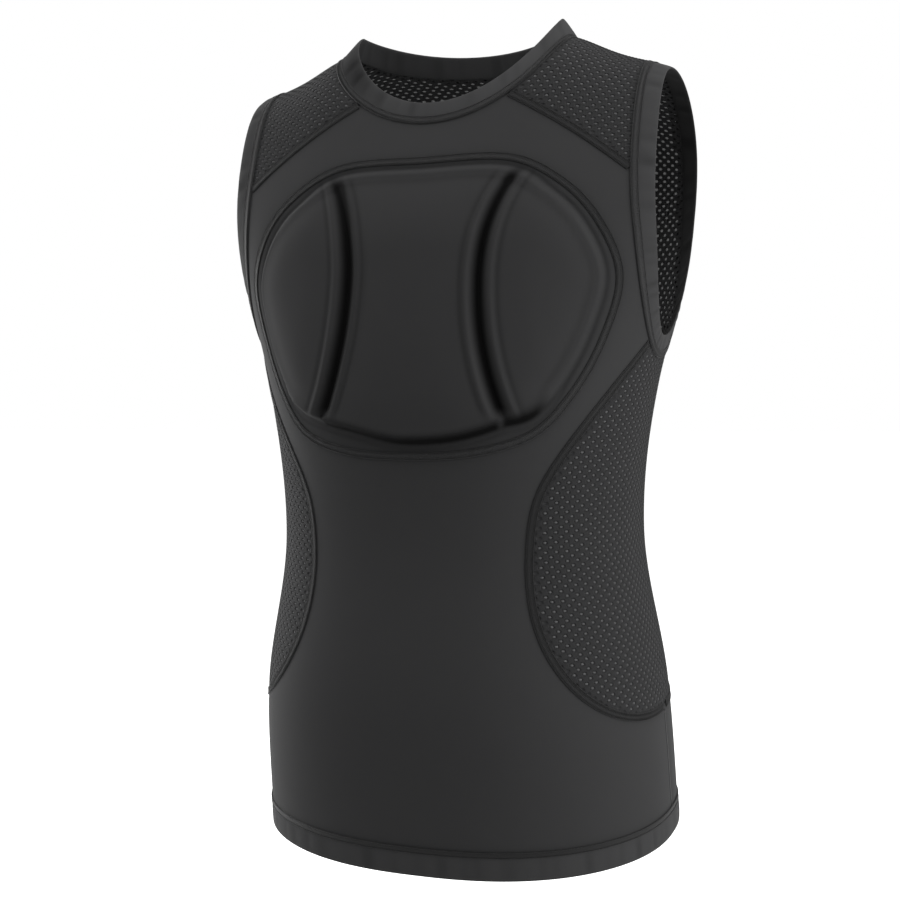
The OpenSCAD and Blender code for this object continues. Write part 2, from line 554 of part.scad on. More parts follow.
// Neck band: a strip from the neck seam up to the neck edge, which leans inwards
neck_ring = concat(neck_half, rest_of(reversed(mirrored(neck_half))));
ring_angles = concat(neck_angles, [for (i = [len(neck_angles) - 2:-1:0]) 360 - neck_angles[i]]);
neck_lean = 7;
neck_mid_y = along(centres, shoulder_h);
neck_reach_front = neck_mid_y - torso(neck_half[0])[1] - neck_lean;
neck_reach_back = torso(last(neck_half))[1] - neck_mid_y - neck_lean;
function neck_edge(a) = let (c = cos(a), bow = pow(abs(c), neck_bow))
    [neck_half_w * sin(a), neck_mid_y - c * (c > 0 ? neck_reach_front : neck_reach_back),
    shoulder_h + neck_rise - bow * (c > 0 ? neck_drop_front : neck_drop_back)];
// Point of the neck band: up the band by a share, and off it by a distance
function on_band(i, share, off) =
    let (n = len(neck_ring) - 1, k = i % n, a = torso(neck_ring[k]), b = neck_edge(ring_angles[k]),
        run = torso(neck_ring[(k + 1) % n]) - torso(neck_ring[(k + n - 1) % n]))
    mix(a, b, share) + off * unit(cross(run, b - a));
function band_rows(shares, off) = [for (s = shares) [for (i = [0:len(neck_ring) - 1]) on_band(i, s, off)]];
module neck_band() {
    shares = [half_gap / neck_band_w, 0.5, 1];
    color(knit_colour) solid([[band_rows(shares, cloth_t + band_extra), band_rows(shares, -band_extra), ring_walls]]);
}
module flatlock_neck() {
    low = cloth_t + band_extra + seam_gap;
    share = flatlock_w / 2 / neck_band_w;
    skirt = shifted(neck_ring, -flatlock_w / 2, true);
    function rows(off) = concat([[for (p = skirt) above(p, off)]], band_rows([0, share], off));
    color(thread_colour) solid([[rows(low + flatlock_t), rows(low), ring_walls]]);
}

module armhole_binding(is_left) {
    rows = [arm_line(0), arm_line(binding_w / 2), arm_line(binding_w - half_gap)];
    left_and_right(is_left) color(knit_colour) sheet(rows, -band_extra, cloth_t + band_extra, ring_walls);
}
module armhole_binding_left() { armhole_binding(true); }
module armhole_binding_right() { armhole_binding(false); }

hem_ring = concat(hem_front_line, rest_of(hem_back_line));
module hem_band() {
    rows = [for (h = [0, hem_w_up - half_gap]) [for (p = hem_ring) [p[0], h]]];
    color(knit_colour) sheet(rows, -band_extra, cloth_t + band_extra, ring_walls);
}

// Walls of the pad's three columns, which join along the grooves
pad_walls = [[true, false, true, true], [true, false, true, false], [true, true, true, false]];
pad_grids = [right_grid, centre_grid, left_grid];
module pad_cover() {
    color(knit_colour) solid([for (k = [0:2]) let (g = inset(pad_grids[k], half_gap, pad_walls[k], true))
        [raised(g, cloth_t), raised(g, 0), pad_walls[k]]]);
}
// Lining behind the foam, inside the garment
lining_t = 0.8;
module pad_lining() {
    color(knit_colour) solid([for (k = [0:2]) let (g = on_torso(inset(pad_grids[k], 1, pad_walls[k], true)))
        [laid(g, -seam_gap), laid(g, -seam_gap - lining_t), pad_walls[k]]]);
}
// Foam of one column: the cells of the grid that lie clear of the rim and of the grooves
function inner_cells(g, first, after) = [for (j = [2:len(g) - 3]) [for (i = [first:len(g[0]) - 1 - after]) g[j][i]]];
module foam(k) {
    g = inner_cells(pad_grids[k], k == 0 ? 2 : 1, k == 2 ? 2 : 1);
    color(foam_colour) solid([[raised(g, -seam_gap), laid(on_torso(g), 0), all_walls]]);
}
module foam_left() { foam(2); }
module foam_centre() { foam(1); }
module foam_right() { foam(0); }

module flatlock_pad() { flatlock(pad_ring, closed = true); }
module flatlock_armhole(is_left) {
    left_and_right(is_left) color(thread_colour)
        sheet([arm_line(binding_w - flatlock_w / 2), arm_line(binding_w), arm_line(binding_w + flatlock_w / 2)],
            cloth_t + band_extra + seam_gap, cloth_t + band_extra + seam_gap + flatlock_t, ring_walls);
}
module flatlock_armhole_left() { flatlock_armhole(true); }
module flatlock_armhole_right() { flatlock_armhole(false); }
// Seams between panels end where the next seam's thread starts
function trimmed(c, d) = let (n = len(c) - 1)
    [for (i = [0:n]) i == 0 ? c[0] + inwards(c[0], c[1], d, false) : i == n ? c[n] + inwards(c[n], c[n - 1], d, false) : c[i]];
seam_end = flatlock_w / 2 + seam_gap + 1;
module seam(c, is_left = true) { left_and_right(is_left) flatlock(trimmed(c, seam_end)); }
module flatlock_yoke_left() { seam(yoke_front); }
module flatlock_yoke_right() { seam(yoke_front, false); }
module flatlock_shoulder_left() { seam(shoulder(1)); }
module flatlock_shoulder_right() { seam(shoulder(1), false); }
module flatlock_back_yoke() { seam(yoke_back); }
module flatlock_side_front_left() { seam(side_front); }
module flatlock_side_front_right() { seam(side_front, false); }
module flatlock_side_back_left() { seam(reversed(side_back)); }
module flatlock_side_back_right() { seam(reversed(side_back), false); }
module flatlock_side_low_left() { seam(side_low); }
module flatlock_side_low_right() { seam(side_low, false); }
module coverstitch_hem() {
    rows = [for (s = [-1, 1]) [for (p = hem_ring) [p[0], hem_w_up + s * flatlock_w / 2]]];
    low = cloth_t + band_extra + seam_gap;
    color(thread_colour) sheet(rows, low, low + flatlock_t, ring_walls);
}

front_body_panel();
back_body_panel();
back_yoke();
front_yoke_left();
front_yoke_right();
side_mesh_left();
side_mesh_right();
neck_band();
armhole_binding_left();
armhole_binding_right();
hem_band();
pad_cover();
foam_left();
foam_centre();
foam_right();
pad_lining();
flatlock_pad();
flatlock_neck();
flatlock_armhole_left();
flatlock_armhole_right();
flatlock_yoke_left();
flatlock_yoke_right();
flatlock_shoulder_left();
flatlock_shoulder_right();
flatlock_back_yoke();
flatlock_side_front_left();
flatlock_side_front_right();
flatlock_side_back_left();
flatlock_side_back_right();
flatlock_side_low_left();
flatlock_side_low_right();
coverstitch_hem();
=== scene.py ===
"""A sleeveless padded sports shirt, sewn over its packed panels.

The cloth keeps the rounded shape of a trunk. Every piece is cut from that one surface: smooth
knit panels, eyelet mesh, doubled bands, a chest pad of three foam cushions, and flat seams of
thread over each join. Lengths are metres; +Z is up and the chest faces -Y.
"""

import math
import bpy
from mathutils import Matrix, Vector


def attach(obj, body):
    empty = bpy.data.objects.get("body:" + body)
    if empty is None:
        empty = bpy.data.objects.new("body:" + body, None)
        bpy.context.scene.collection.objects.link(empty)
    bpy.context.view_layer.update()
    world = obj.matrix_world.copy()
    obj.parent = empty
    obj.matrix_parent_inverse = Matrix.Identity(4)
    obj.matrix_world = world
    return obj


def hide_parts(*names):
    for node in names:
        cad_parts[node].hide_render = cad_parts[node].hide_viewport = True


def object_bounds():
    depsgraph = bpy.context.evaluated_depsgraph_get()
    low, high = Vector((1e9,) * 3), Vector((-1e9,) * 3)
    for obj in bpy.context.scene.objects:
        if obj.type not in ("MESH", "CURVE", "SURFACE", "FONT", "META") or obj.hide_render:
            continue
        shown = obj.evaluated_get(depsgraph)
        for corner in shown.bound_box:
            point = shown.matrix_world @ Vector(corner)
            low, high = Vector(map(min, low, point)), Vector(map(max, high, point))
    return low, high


bl_info = {
    "name": "Padded Shirt",
    "version": (1, 0, 0),
    "blender": (4, 5, 0),
    "location": "3D View > Sidebar > Shirt",
    "description": "Sews a sleeveless shirt with a quilted chest pad and mesh panels",
    "category": "Add Mesh",
}

import bmesh
import bpy
import numpy as np
from bpy.props import FloatProperty, FloatVectorProperty, PointerProperty
from mathutils import Matrix, Vector

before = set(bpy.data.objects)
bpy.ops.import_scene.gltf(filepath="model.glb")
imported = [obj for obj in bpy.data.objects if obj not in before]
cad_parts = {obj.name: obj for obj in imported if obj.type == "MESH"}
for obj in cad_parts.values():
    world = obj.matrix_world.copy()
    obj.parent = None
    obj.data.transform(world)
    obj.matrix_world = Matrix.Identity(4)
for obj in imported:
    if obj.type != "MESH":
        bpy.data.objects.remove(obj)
CAD_BOX = [list(corner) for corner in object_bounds()]
MM = 0.001
TINY = 1e-12
SIDES = (("left", False), ("right", True))  # the wearer's right piece is the left one, flipped


# ---- sizes and colours that a user would change ----


def length(name, text, value):
    return FloatProperty(name=name, description=text, default=value, unit="LENGTH", precision=4)


def lengths(name, text, values):
    return FloatVectorProperty(
        name=name, description=text, default=values, size=len(values), unit="LENGTH"
    )


def colour(name, text, value):
    return FloatVectorProperty(
        name=name, description=text, default=value, size=3, subtype="COLOR", min=0, max=1
    )


class ShirtSizes(bpy.types.PropertyGroup):
    """Sizes of the trunk and of the pieces that are cut from it"""

    levels: lengths(
        "Levels",
        "Heights at which the trunk is measured",
        (0, 0.12, 0.24, 0.36, 0.47, 0.56, 0.65, 0.74),
    )
    half_widths: lengths(
        "Half widths",
        "Half width of the trunk at each level",
        (0.169, 0.163, 0.145, 0.158, 0.194, 0.231, 0.245, 0.249),
    )
    fronts: lengths(
        "Front depths",
        "Depth of the front half at each level",
        (0.124, 0.126, 0.113, 0.115, 0.103, 0.088, 0.09, 0.098),
    )
    backs: lengths(
        "Back depths",
        "Depth of the back half at each level",
        (0.124, 0.122, 0.113, 0.12, 0.127, 0.13, 0.121, 0.107),
    )
    centres: lengths(
        "Centres",
        "How far back the trunk's middle lies at each level",
        (-0.001, -0.007, -0.003, 0.004, 0.014, 0.025, 0.025, 0.026),
    )
    shoulder_height: length("Shoulder height", "Height of the shoulder line beside the neck", 0.632)
    close_height: length(
        "Closing height", "Height above which the trunk closes over the shoulders", 0.483
    )
    hem_dip: length("Hem dip", "How far the hem dips at the front", 0.008)
    shoulder_sag: length(
        "Shoulder sag", "How far the shoulder line sags between the neck and the armhole", 0.0035
    )
    armhole_gap: length("Armhole gap", "Distance between the two armhole edges", 0.348)
    armhole_low: length("Armhole bottom", "Height of the armhole's lowest point", 0.396)
    armhole_turn: length(
        "Armhole turn", "Height over which the armhole's bottom draws in under the arm", 0.085
    )
    neck_half_width: length("Neck half width", "Half width of the neck opening", 0.0855)
    neck_drop_front: length(
        "Front neck drop", "Drop from the neck points to the front neck edge", 0.066
    )
    neck_drop_back: length(
        "Back neck drop", "Drop from the neck points to the back neck edge", 0.014
    )
    neck_rise: length("Neck rise", "Height of the neck points above the shoulder line", 0.014)
    neck_band: length("Neck band", "Width of the neck band at the front", 0.0115)
    binding: length("Binding", "Width of the armhole binding", 0.015)
    hem: length("Hem", "Height of the turned-up hem", 0.02)
    seam_width: length("Seam width", "Width of a flat seam", 0.0065)
    cloth: length("Cloth", "Thickness of a single cloth", 0.0012)
    band: length("Doubled band", "Thickness of the doubled bands", 0.002)
    side_low: length("Side mesh bottom", "Height of the side mesh's lowest point", 0.105)
    side_wide: length("Side mesh widest", "Height of the side mesh's widest place", 0.225)
    side_reach: FloatProperty(
        name="Side mesh reach",
        description="Angle from the side to the mesh's front edge, in degrees",
        default=57,
    )
    yoke_in: length("Yoke at the neck", "Distance from the middle to the front yoke seam", 0.059)
    back_yoke: length("Back yoke", "Height of the back yoke seam in the middle", 0.372)


class PadSizes(bpy.types.PropertyGroup):
    """Sizes of the quilted chest pad"""

    half_width: length("Half width", "Half width of the pad", 0.15)
    wide_height: length("Widest height", "Height of the pad's widest place", 0.444)
    up: length("Rise", "Rise from the widest place to the top edge", 0.09)
    down: length("Drop", "Drop from the widest place to the bottom edge", 0.131)
    height: length("Foam height", "Height of the foam above the cloth", 0.0095)
    rim: length("Rim", "Width of the flat rim round the foam", 0.008)
    bevel: length("Bevel", "Width of the foam's sloping edge", 0.009)
    groove_half_gap: length(
        "Groove half gap", "Half distance between the two grooves at their closest", 0.0515
    )
    groove_r_up: length(
        "Upper groove radius", "Radius of the groove's arc above its closest place", 0.155
    )
    groove_r_down: length(
        "Lower groove radius", "Radius of the groove's arc below its closest place", 0.275
    )
    groove_floor: length("Groove floor", "Half width of the groove's floor", 0.0004)
    groove_shoulder: length("Groove shoulder", "How far from its middle a groove is round", 0.0092)


class MeshKnit(bpy.types.PropertyGroup):
    """Sizes of the eyelet mesh"""

    pitch: length("Pitch", "Distance between eyelets along a row", 0.0076)
    row: length("Row", "Distance between rows of eyelets", 0.0039)
    hole_width: length("Eyelet width", "Width of one eyelet", 0.0034)
    hole_height: length("Eyelet height", "Height of one eyelet", 0.0027)


class ShirtColours(bpy.types.PropertyGroup):
    """Colours of the cloths and the thread"""

    knit: colour("Knit", "Smooth knit of the body", (0.022, 0.022, 0.0224))
    pad: colour("Pad knit", "Knit drawn over the foam", (0.0205, 0.0205, 0.0209))
    band: colour(
        "Bands", "Doubled bands of the neck, the armholes and the hem", (0.0262, 0.0262, 0.0267)
    )
    mesh: colour("Mesh", "Eyelet mesh", (0.0158, 0.0158, 0.0162))
    net: colour("Net", "Fine net behind the eyelets", (0.062, 0.062, 0.063))
    thread: colour("Thread", "Thread of the flat seams", (0.0185, 0.0185, 0.0188))
    foam: colour("Foam", "Foam cushions", (0.1, 0.1, 0.105))
    floor: colour("Floor", "Floor and backdrop", (0.62, 0.62, 0.62))


class StudioSettings(bpy.types.PropertyGroup):
    """Camera and lamps"""

    azimuth: FloatProperty(
        name="Azimuth", description="Camera's turn to the wearer's left, in degrees", default=21.22
    )
    elevation: FloatProperty(
        name="Elevation", description="Camera's height angle, in degrees", default=5.87
    )
    roll: FloatProperty(name="Roll", description="Camera's roll, in degrees", default=1.84)
    distance: length("Distance", "Distance from the camera to its target", 1.22403)
    target: lengths("Target", "Point that the camera looks at", (-0.01139, 0, 0.30524))
    lens: FloatProperty(name="Lens", description="Focal length in millimetres", default=59.54)
    top: FloatProperty(name="Top", description="Power of the softbox above, in watts", default=23)
    key: FloatProperty(name="Key", description="Power of the softbox in front, in watts", default=5)
    left: FloatProperty(
        name="Left", description="Power of the softbox on the wearer's left, in watts", default=27
    )
    right: FloatProperty(
        name="Right", description="Power of the softbox on the wearer's right, in watts", default=35
    )
    ambient: FloatProperty(name="Ambient", description="Strength of the room's light", default=0.4)
    floor_drop: length("Floor drop", "How far the floor lies below the hem", 0.25)


# ---- the trunk's surface ----


def unit(vectors):
    """Vectors of length 1"""
    return vectors / np.maximum(np.linalg.norm(vectors, axis=-1, keepdims=True), TINY)


def smooth_step(t):
    """Smooth rise from 0 to 1"""
    t = np.clip(t, 0, 1)
    return t * t * (3 - 2 * t)


def ramp(value, start, span):
    """Smooth rise from 0 at the start to 1 over a span; a negative span rises the other way"""
    return smooth_step((value - start) / span)


def bell(value, middle, width):
    """Smooth bump of height 1"""
    return np.exp(-(((value - middle) / width) ** 2))


def run_lengths(points):
    """Lengths along a line of points, from its start"""
    steps = np.linalg.norm(np.diff(points, axis=0), axis=1)
    return np.concatenate([[0], np.cumsum(steps)])


class Trunk:
    """The rounded shape of the cloth. A place on it is (angle, height): 0 degrees is the front,
    90 the wearer's left and 180 the back; over the shoulders the height stands for the turn."""

    plan = 2.4  # power of the level sections
    shoulder = 2.2  # power of the sections over the shoulders
    slope = 0.41  # fall of the shoulder line
    blend = 0.008  # how softly the fall starts beside the neck
    ridge_gap = 0.008  # from the shoulder height to the top of the chart
    seam_out = 0.0095  # from the neck's edge out to its seam
    sag_lead = 0.009  # how far inside the neck seam the sag starts
    sag_extra = 0.011  # how much longer the sag is than the shoulder
    dip_reach = 0.15  # height at which the hem's dip has run out
    top_strip = 0.0008  # strip below the ridge that takes the ridge's own direction
    parts = ("half_widths", "fronts", "backs", "centres")

    def __init__(self, sizes):
        self.sizes = sizes
        self.levels = np.array(sizes.levels)
        self.tables = {part: np.array(getattr(sizes, part)) for part in self.parts}
        self.close = sizes.close_height
        self.ridge_top = sizes.shoulder_height + self.ridge_gap
        self.neck_flat = sizes.neck_half_width + self.seam_out
        self.sag_span = sizes.armhole_gap / 2 - self.neck_flat + self.sag_extra

    def along(self, key, h):
        """Value of one of the trunk's measures at a height, on a smooth line through its levels"""
        v, lev, n = self.tables[key], self.levels, len(self.levels)
        before, after = np.maximum(np.arange(n) - 1, 0), np.minimum(np.arange(n) + 1, n - 1)
        slopes = (v[after] - v[before]) / (lev[after] - lev[before])
        i = np.clip(np.searchsorted(lev, h, side="left") - 1, 0, n - 2)
        d = lev[i + 1] - lev[i]
        t = np.clip((h - lev[i]) / d, 0, 1)
        return (
            (2 * t**3 - 3 * t**2 + 1) * v[i]
            + (t**3 - 2 * t**2 + t) * d * slopes[i]
            + (3 * t**2 - 2 * t**3) * v[i + 1]
            + (t**3 - t**2) * d * slopes[i + 1]
        )

    def ridge(self, x):
        """Height of the shoulder line"""
        sag = self.sizes.shoulder_sag * np.sin(self.sag_turn(x)) ** 2
        return self.sizes.shoulder_height - sag - self.slope * self.blend * np.log1p(
            np.exp((np.abs(x) - self.neck_flat) / self.blend)
        )

    def sag_turn(self, x):
        """Turn of the wave that hollows the shoulder line between the neck and the armhole"""
        past = np.abs(x) - self.neck_flat + self.sag_lead
        return math.pi * np.clip(past / self.sag_span, 0, 1)

    def point(self, places):
        """Points in space of places on the trunk"""
        a, h = np.radians(places[..., 0]), places[..., 1]
        sin, cos = np.sin(a), np.cos(a)
        closing = np.minimum(1, (h - self.close) / (self.ridge_top - self.close))
        turn = np.where(h <= self.close, 0, math.pi / 2 * closing)
        x = self.along("half_widths", h) * np.sign(sin) * np.abs(sin) ** (2 / self.plan)
        rise = np.sin(turn) ** (2 / self.shoulder)
        z = np.where(h <= self.close, h, self.close + (self.ridge(x) - self.close) * rise)
        depth = np.where(cos > 0, self.along("fronts", z), self.along("backs", z))
        share = (np.abs(x) / self.along("half_widths", z)) ** self.plan
        reach = np.maximum(0, 1 - share) ** (1 / self.plan)
        reach = reach * np.maximum(0, np.cos(turn)) ** (2 / self.shoulder)
        low = np.maximum(0, 1 - h / self.dip_reach)
        dip = self.sizes.hem_dip * np.maximum(0, cos) ** 2 * low
        y = self.along("centres", z) - np.sign(cos) * depth * reach
        return np.stack([x, y, z - dip], -1)

    def place(self, x, z, side=1):
        """Place that lies at x and z in the elevation, on the front (side 1) or the back (-1)"""
        x, z = np.broadcast_arrays(np.asarray(x, float), np.asarray(z, float))
        t = np.clip((z - self.close) / (self.ridge(x) - self.close), 0, 1)
        turn = np.arcsin(t ** (self.shoulder / 2))
        turned = self.close + (self.ridge_top - self.close) * turn / (math.pi / 2)
        h = np.where(z <= self.close, z, turned)
        share = np.minimum(1, (np.abs(x) / self.along("half_widths", h)) ** (self.plan / 2))
        a = np.degrees(np.arcsin(share)) * np.sign(x)
        return np.stack([a if side > 0 else 180 - a, h], -1)

    def slopes(self, places, da=0.4, dh=0.0004):
        """Ways along the surface, per degree and per metre of height"""
        step_a, step_h = np.array([da, 0]), np.array([0, dh])
        held = np.stack([places[..., 0], np.minimum(places[..., 1], self.ridge_top - dh)], -1)
        return (
            (self.point(places + step_a) - self.point(places - step_a)) / (2 * da),
            (self.point(held + step_h) - self.point(held - step_h)) / (2 * dh),
        )

    def outward(self, places):
        """Directions straight off the cloth"""
        along_a, along_h = self.slopes(places)
        normal = unit(np.cross(along_a, along_h))
        x = self.point(places)[..., 0]
        fall = self.slope / (1 + np.exp((self.neck_flat - np.abs(x)) / self.blend))
        fall += self.sizes.shoulder_sag * np.sin(2 * self.sag_turn(x)) * math.pi / self.sag_span
        fall *= -np.sign(x)
        top = unit(np.stack([-fall, np.zeros_like(x), np.ones_like(x)], -1))
        return np.where(places[..., 1:] < self.ridge_top - self.top_strip, normal, top)

    def above(self, places, off):
        return self.point(places) + np.asarray(off)[..., None] * self.outward(places)

    def shifted(self, curve, d, closed=False):
        """Moves each place of a curve sideways on the surface, to the left of its run"""
        p = self.point(curve)
        run = np.roll(p[:-1], -1, 0) - np.roll(p[:-1], 1, 0) if closed else np.gradient(p, axis=0)
        if closed:
            run = np.concatenate([run, run[:1]])
        a, h = self.slopes(curve)
        left = unit(np.cross(np.cross(a, h), run)) * d
        aa, hh, ah = (a * a).sum(-1), (h * h).sum(-1), (a * h).sum(-1)
        la, lh = (left * a).sum(-1), (left * h).sum(-1)
        det = aa * hh - ah**2
        moved = curve + np.stack([(la * hh - lh * ah) / det, (lh * aa - la * ah) / det], -1)
        moved[:, 1] = np.minimum(moved[:, 1], self.ridge_top)
        return moved


def mirror(curve):
    return np.stack([-curve[..., 0], curve[..., 1]], -1)


def opposite(curve):
    return np.stack([360 - curve[..., 0], curve[..., 1]], -1)


def joined(*curves):
    return np.concatenate([c[:-1] for c in curves])


def line(start, end, n=40):
    return np.linspace(start, end, n + 1)


class Pattern(Trunk):
    """The seams on the trunk, as lists of places"""

    # shares of half an armhole, from its bottom, at which pieces meet
    mesh_share = 0.165  # side mesh and body panels
    back_share = 0.2375  # back panel and back yoke
    yoke_share = 0.64  # front panel and front yoke
    fullness = 0.82  # power of the side mesh's rounded bottom
    bend_height = 0.283  # height at which the side mesh's edge bends back
    bend_round = 0.026  # how softly it bends
    bend_rate = 165  # degrees that it turns in a metre of height
    neck_power = 1.4  # roundness of the neck's drop
    back_neck_extra = 0.003  # how much lower the seam lies below the back neck edge
    edge_in = 0.007  # how far the neck's edge leans in from its seam
    yoke_bow = 0.016  # 4 times the bow of the front yoke's seam in its middle
    level_cosine = 0.001  # cosines below it count as the side of the neck
    just_behind = 90.0011  # degrees round the neck, where its back part starts

    def __init__(self, scene):
        super().__init__(scene.shirt_sizes)
        s = self.sizes
        self.pad = scene.shirt_pad
        self.arm_x = s.armhole_gap / 2
        self.arm_low = s.armhole_low
        self.side_front = self.side_line(self.arm_front(s.binding, (0, self.mesh_share))[-1])
        back_end = self.arm_back(s.binding, (0, self.mesh_share))[-1]
        turned_end = np.array([180 - back_end[0], back_end[1]])
        self.side_back = self.side_line(turned_end) * [-1, 1] + [180, 0]
        self.side_bottom = line([90, s.hem], [90, s.side_low], 20)
        self.neck_ring = self.neck_seam()
        self.yoke_front = self.front_yoke_seam()
        corner = self.arm_back(s.binding, (0, self.back_share))[-1]
        t = np.linspace(0, 1, 121)
        across = corner[0] + (360 - 2 * corner[0]) * t
        up = s.back_yoke + (corner[1] - s.back_yoke) * (2 * t - 1) ** 2
        self.yoke_back = np.stack([across, up], -1)
        self.hem_ring = line([-90, s.hem], [270, s.hem], 360)

    # the armholes

    def arm_half(self, shares):
        """Front half of the left armhole's edge, at shares of its height's quarter turn"""
        h = self.arm_low + (self.ridge_top - self.arm_low) * (1 - np.cos(np.radians(90 * shares)))
        drawn_in = self.arm_x - float(self.along("half_widths", self.arm_low))
        below = np.maximum(0, 1 - (h - self.arm_low) / self.sizes.armhole_turn)
        x = self.arm_x - drawn_in * below**2
        share = np.minimum(1, (x / self.along("half_widths", h)) ** (self.plan / 2))
        return np.stack([np.degrees(np.arcsin(share)), h], -1)

    def arm_line(self, d, n=64):
        """Ring at a distance from the left armhole's edge, down the back and up the front"""
        front = self.arm_half(np.linspace(0, 1, n + 1))
        back = np.stack([180 - front[:, 0], front[:, 1]], -1)
        curve = self.shifted(np.concatenate([back[::-1], front[1:]]), d)
        share = (self.arm_x - d) / float(self.along("half_widths", self.ridge_top))
        end = math.degrees(math.asin(share ** (self.plan / 2)))
        curve[0], curve[-1] = (180 - end, self.ridge_top), (end, self.ridge_top)
        return curve

    def arm_part(self, d, shares, front):
        """Part of that ring on one half, between two shares from the bottom"""
        n = 64
        half = self.arm_line(d, n)
        half = half[n:] if front else half[n::-1]
        t = np.linspace(shares[0], shares[1], 49) * n
        return np.stack([np.interp(t, np.arange(n + 1), half[:, k]) for k in (0, 1)], -1)

    def arm_front(self, d, shares):
        return self.arm_part(d, shares, True)

    def arm_back(self, d, shares):
        return self.arm_part(d, shares, False)

    # the side mesh

    def bend(self, h):
        """Degrees that the side mesh's edge has bent back at a height"""
        above = h - self.bend_height
        return self.bend_rate * (above + np.sqrt(above**2 + self.bend_round**2))

    def side_line(self, to):
        """Edge of the side mesh, from its lowest point round to where it meets the armhole"""
        s = self.sizes
        a = np.radians(np.linspace(0, 90, 41))
        across, down = np.abs(np.sin(a)) ** self.fullness, np.abs(np.cos(a)) ** self.fullness
        drop = s.side_wide - s.side_low
        low = np.stack([90 - s.side_reach * across, s.side_wide - drop * down], -1)
        t = np.linspace(0, 1, 81)[1:]
        h = low[-1, 1] + (to[1] - low[-1, 1]) * t
        miss = to[0] - low[-1, 0] - self.bend(to[1]) + self.bend(s.side_wide)
        turned = low[-1, 0] + self.bend(h) - self.bend(s.side_wide) + miss * t**3
        return np.concatenate([low, np.stack([turned, h], -1)])

    # the neck

    def neck_elevation(self, degrees):
        """x and z of the neck seam at angles round the neck, and their cosines"""
        s = self.sizes
        a = np.radians(degrees)
        x, c = self.neck_flat * np.sin(a), np.cos(a)
        front = s.neck_drop_front - s.neck_rise + s.neck_band
        back = s.neck_drop_back - s.neck_rise + s.neck_band + self.back_neck_extra
        drop = np.where(c > 0, front, back) * np.abs(c) ** self.neck_power
        beside = np.abs(c) < self.level_cosine
        return x, np.where(beside, self.ridge(x), self.ridge(self.neck_flat) - drop), c

    def neck_seam(self, n=96):
        """Ring of the neck seam, from the middle of the front round the wearer's left"""
        self.ring_angles = np.linspace(0, 360, 2 * n + 1)
        x, z, c = self.neck_elevation(self.ring_angles)
        ring = np.where((c > 0)[:, None], self.place(x, z, 1), self.place(x, z, -1))
        ring[:, 0] -= 360 * ((self.ring_angles > 180) & (ring[:, 0] > 180))
        return ring

    def neck_part(self, start, end, n=60):
        """Part of the neck seam in front (up to 90 degrees) or behind"""
        x, z, _ = self.neck_elevation(np.linspace(start, end, n + 1))
        return self.place(x, z, 1 if end <= 90 else -1)

    def neck_edge(self):
        """Points of the neck band's free edge, one for each place of its seam"""
        s = self.sizes
        a = np.radians(self.ring_angles)
        c, p = np.cos(a), self.point(self.neck_ring)
        middle = float(self.along("centres", s.shoulder_height))
        front = middle - p[0, 1] - self.edge_in
        back = p[len(p) // 2, 1] - middle - self.edge_in
        drop = np.where(c > 0, s.neck_drop_front, s.neck_drop_back)
        x, y = s.neck_half_width * np.sin(a), middle - c * np.where(c > 0, front, back)
        z = s.shoulder_height + s.neck_rise - np.abs(c) ** self.neck_power * drop
        return np.stack([x, y, z], -1)

    def yoke_angle(self):
        """Degrees round the neck at which the front yoke starts"""
        return math.degrees(math.asin(self.sizes.yoke_in / self.neck_flat))

    def front_yoke_seam(self):
        start = self.neck_part(0, self.yoke_angle())[-1]
        end = self.arm_front(self.sizes.binding, (0, self.yoke_share))[-1]
        a, b = self.point(start), self.point(end)
        t = np.linspace(0, 1, 61)
        z = a[2] + (b[2] - a[2]) * t + self.yoke_bow * t * (1 - t)
        return self.place(a[0] + (b[0] - a[0]) * t, z)

    def shoulder_line(self, side):
        """Line over the shoulder from the neck seam to the armhole's seam"""
        x = np.linspace(self.neck_flat, self.arm_x - self.sizes.binding, 41)
        share = x / float(self.along("half_widths", self.ridge_top))
        a = np.degrees(np.arcsin(share ** (self.plan / 2)))
        return np.stack([a if side > 0 else 180 - a, np.full_like(a, self.ridge_top)], -1)

    # the chest pad

    # half of the outline, as shares of its half width and of its rise or drop
    knots = np.array(
        [
            [0, 1],
            [0.45, 0.985],
            [0.72, 0.775],
            [0.905, 0.45],
            [1, 0],
            [0.925, -0.35],
            [0.785, -0.67],
            [0.61, -0.885],
            [0.33, -0.98],
            [0, -1],
        ]
    )

    def pad_edge(self, t):
        """Points of the outline's left half in the elevation, counted in knots from the top"""
        t = np.asarray(t, float)
        n = len(self.knots) - 1
        i = np.minimum(np.floor(t).astype(int), n - 1)
        u = (t - i)[..., None]

        def knot(k):
            folded = np.where(k < 0, -k, np.where(k > n, 2 * n - k, k))
            p = self.knots[folded]
            sign = np.where((k < 0) | (k > n), -1, 1)
            z = p[..., 1] * np.where(p[..., 1] > 0, self.pad.up, self.pad.down)
            return np.stack([sign * p[..., 0] * self.pad.half_width, self.pad.wide_height + z], -1)

        a, b, c, d = knot(i - 1), knot(i), knot(i + 1), knot(i + 2)
        squared, cubed = 2 * a - 5 * b + 4 * c - d, 3 * b - a - 3 * c + d
        return 0.5 * (2 * b + (c - a) * u + squared * u**2 + cubed * u**3)

    def pad_outline(self, n):
        """The whole outline in the elevation, closed, with n points down each half"""
        half = self.pad_edge(np.linspace(0, len(self.knots) - 1, n + 1))
        return np.concatenate([half, half[-2::-1] * [-1, 1]])

    def groove_x(self, z):
        """How far from the middle a groove lies at a height"""
        k = z - self.pad.wide_height
        r = np.where(k > 0, self.pad.groove_r_up, self.pad.groove_r_down)
        return self.pad.groove_half_gap + r - np.sqrt(r**2 - k**2)


# ---- cloth lattices ----

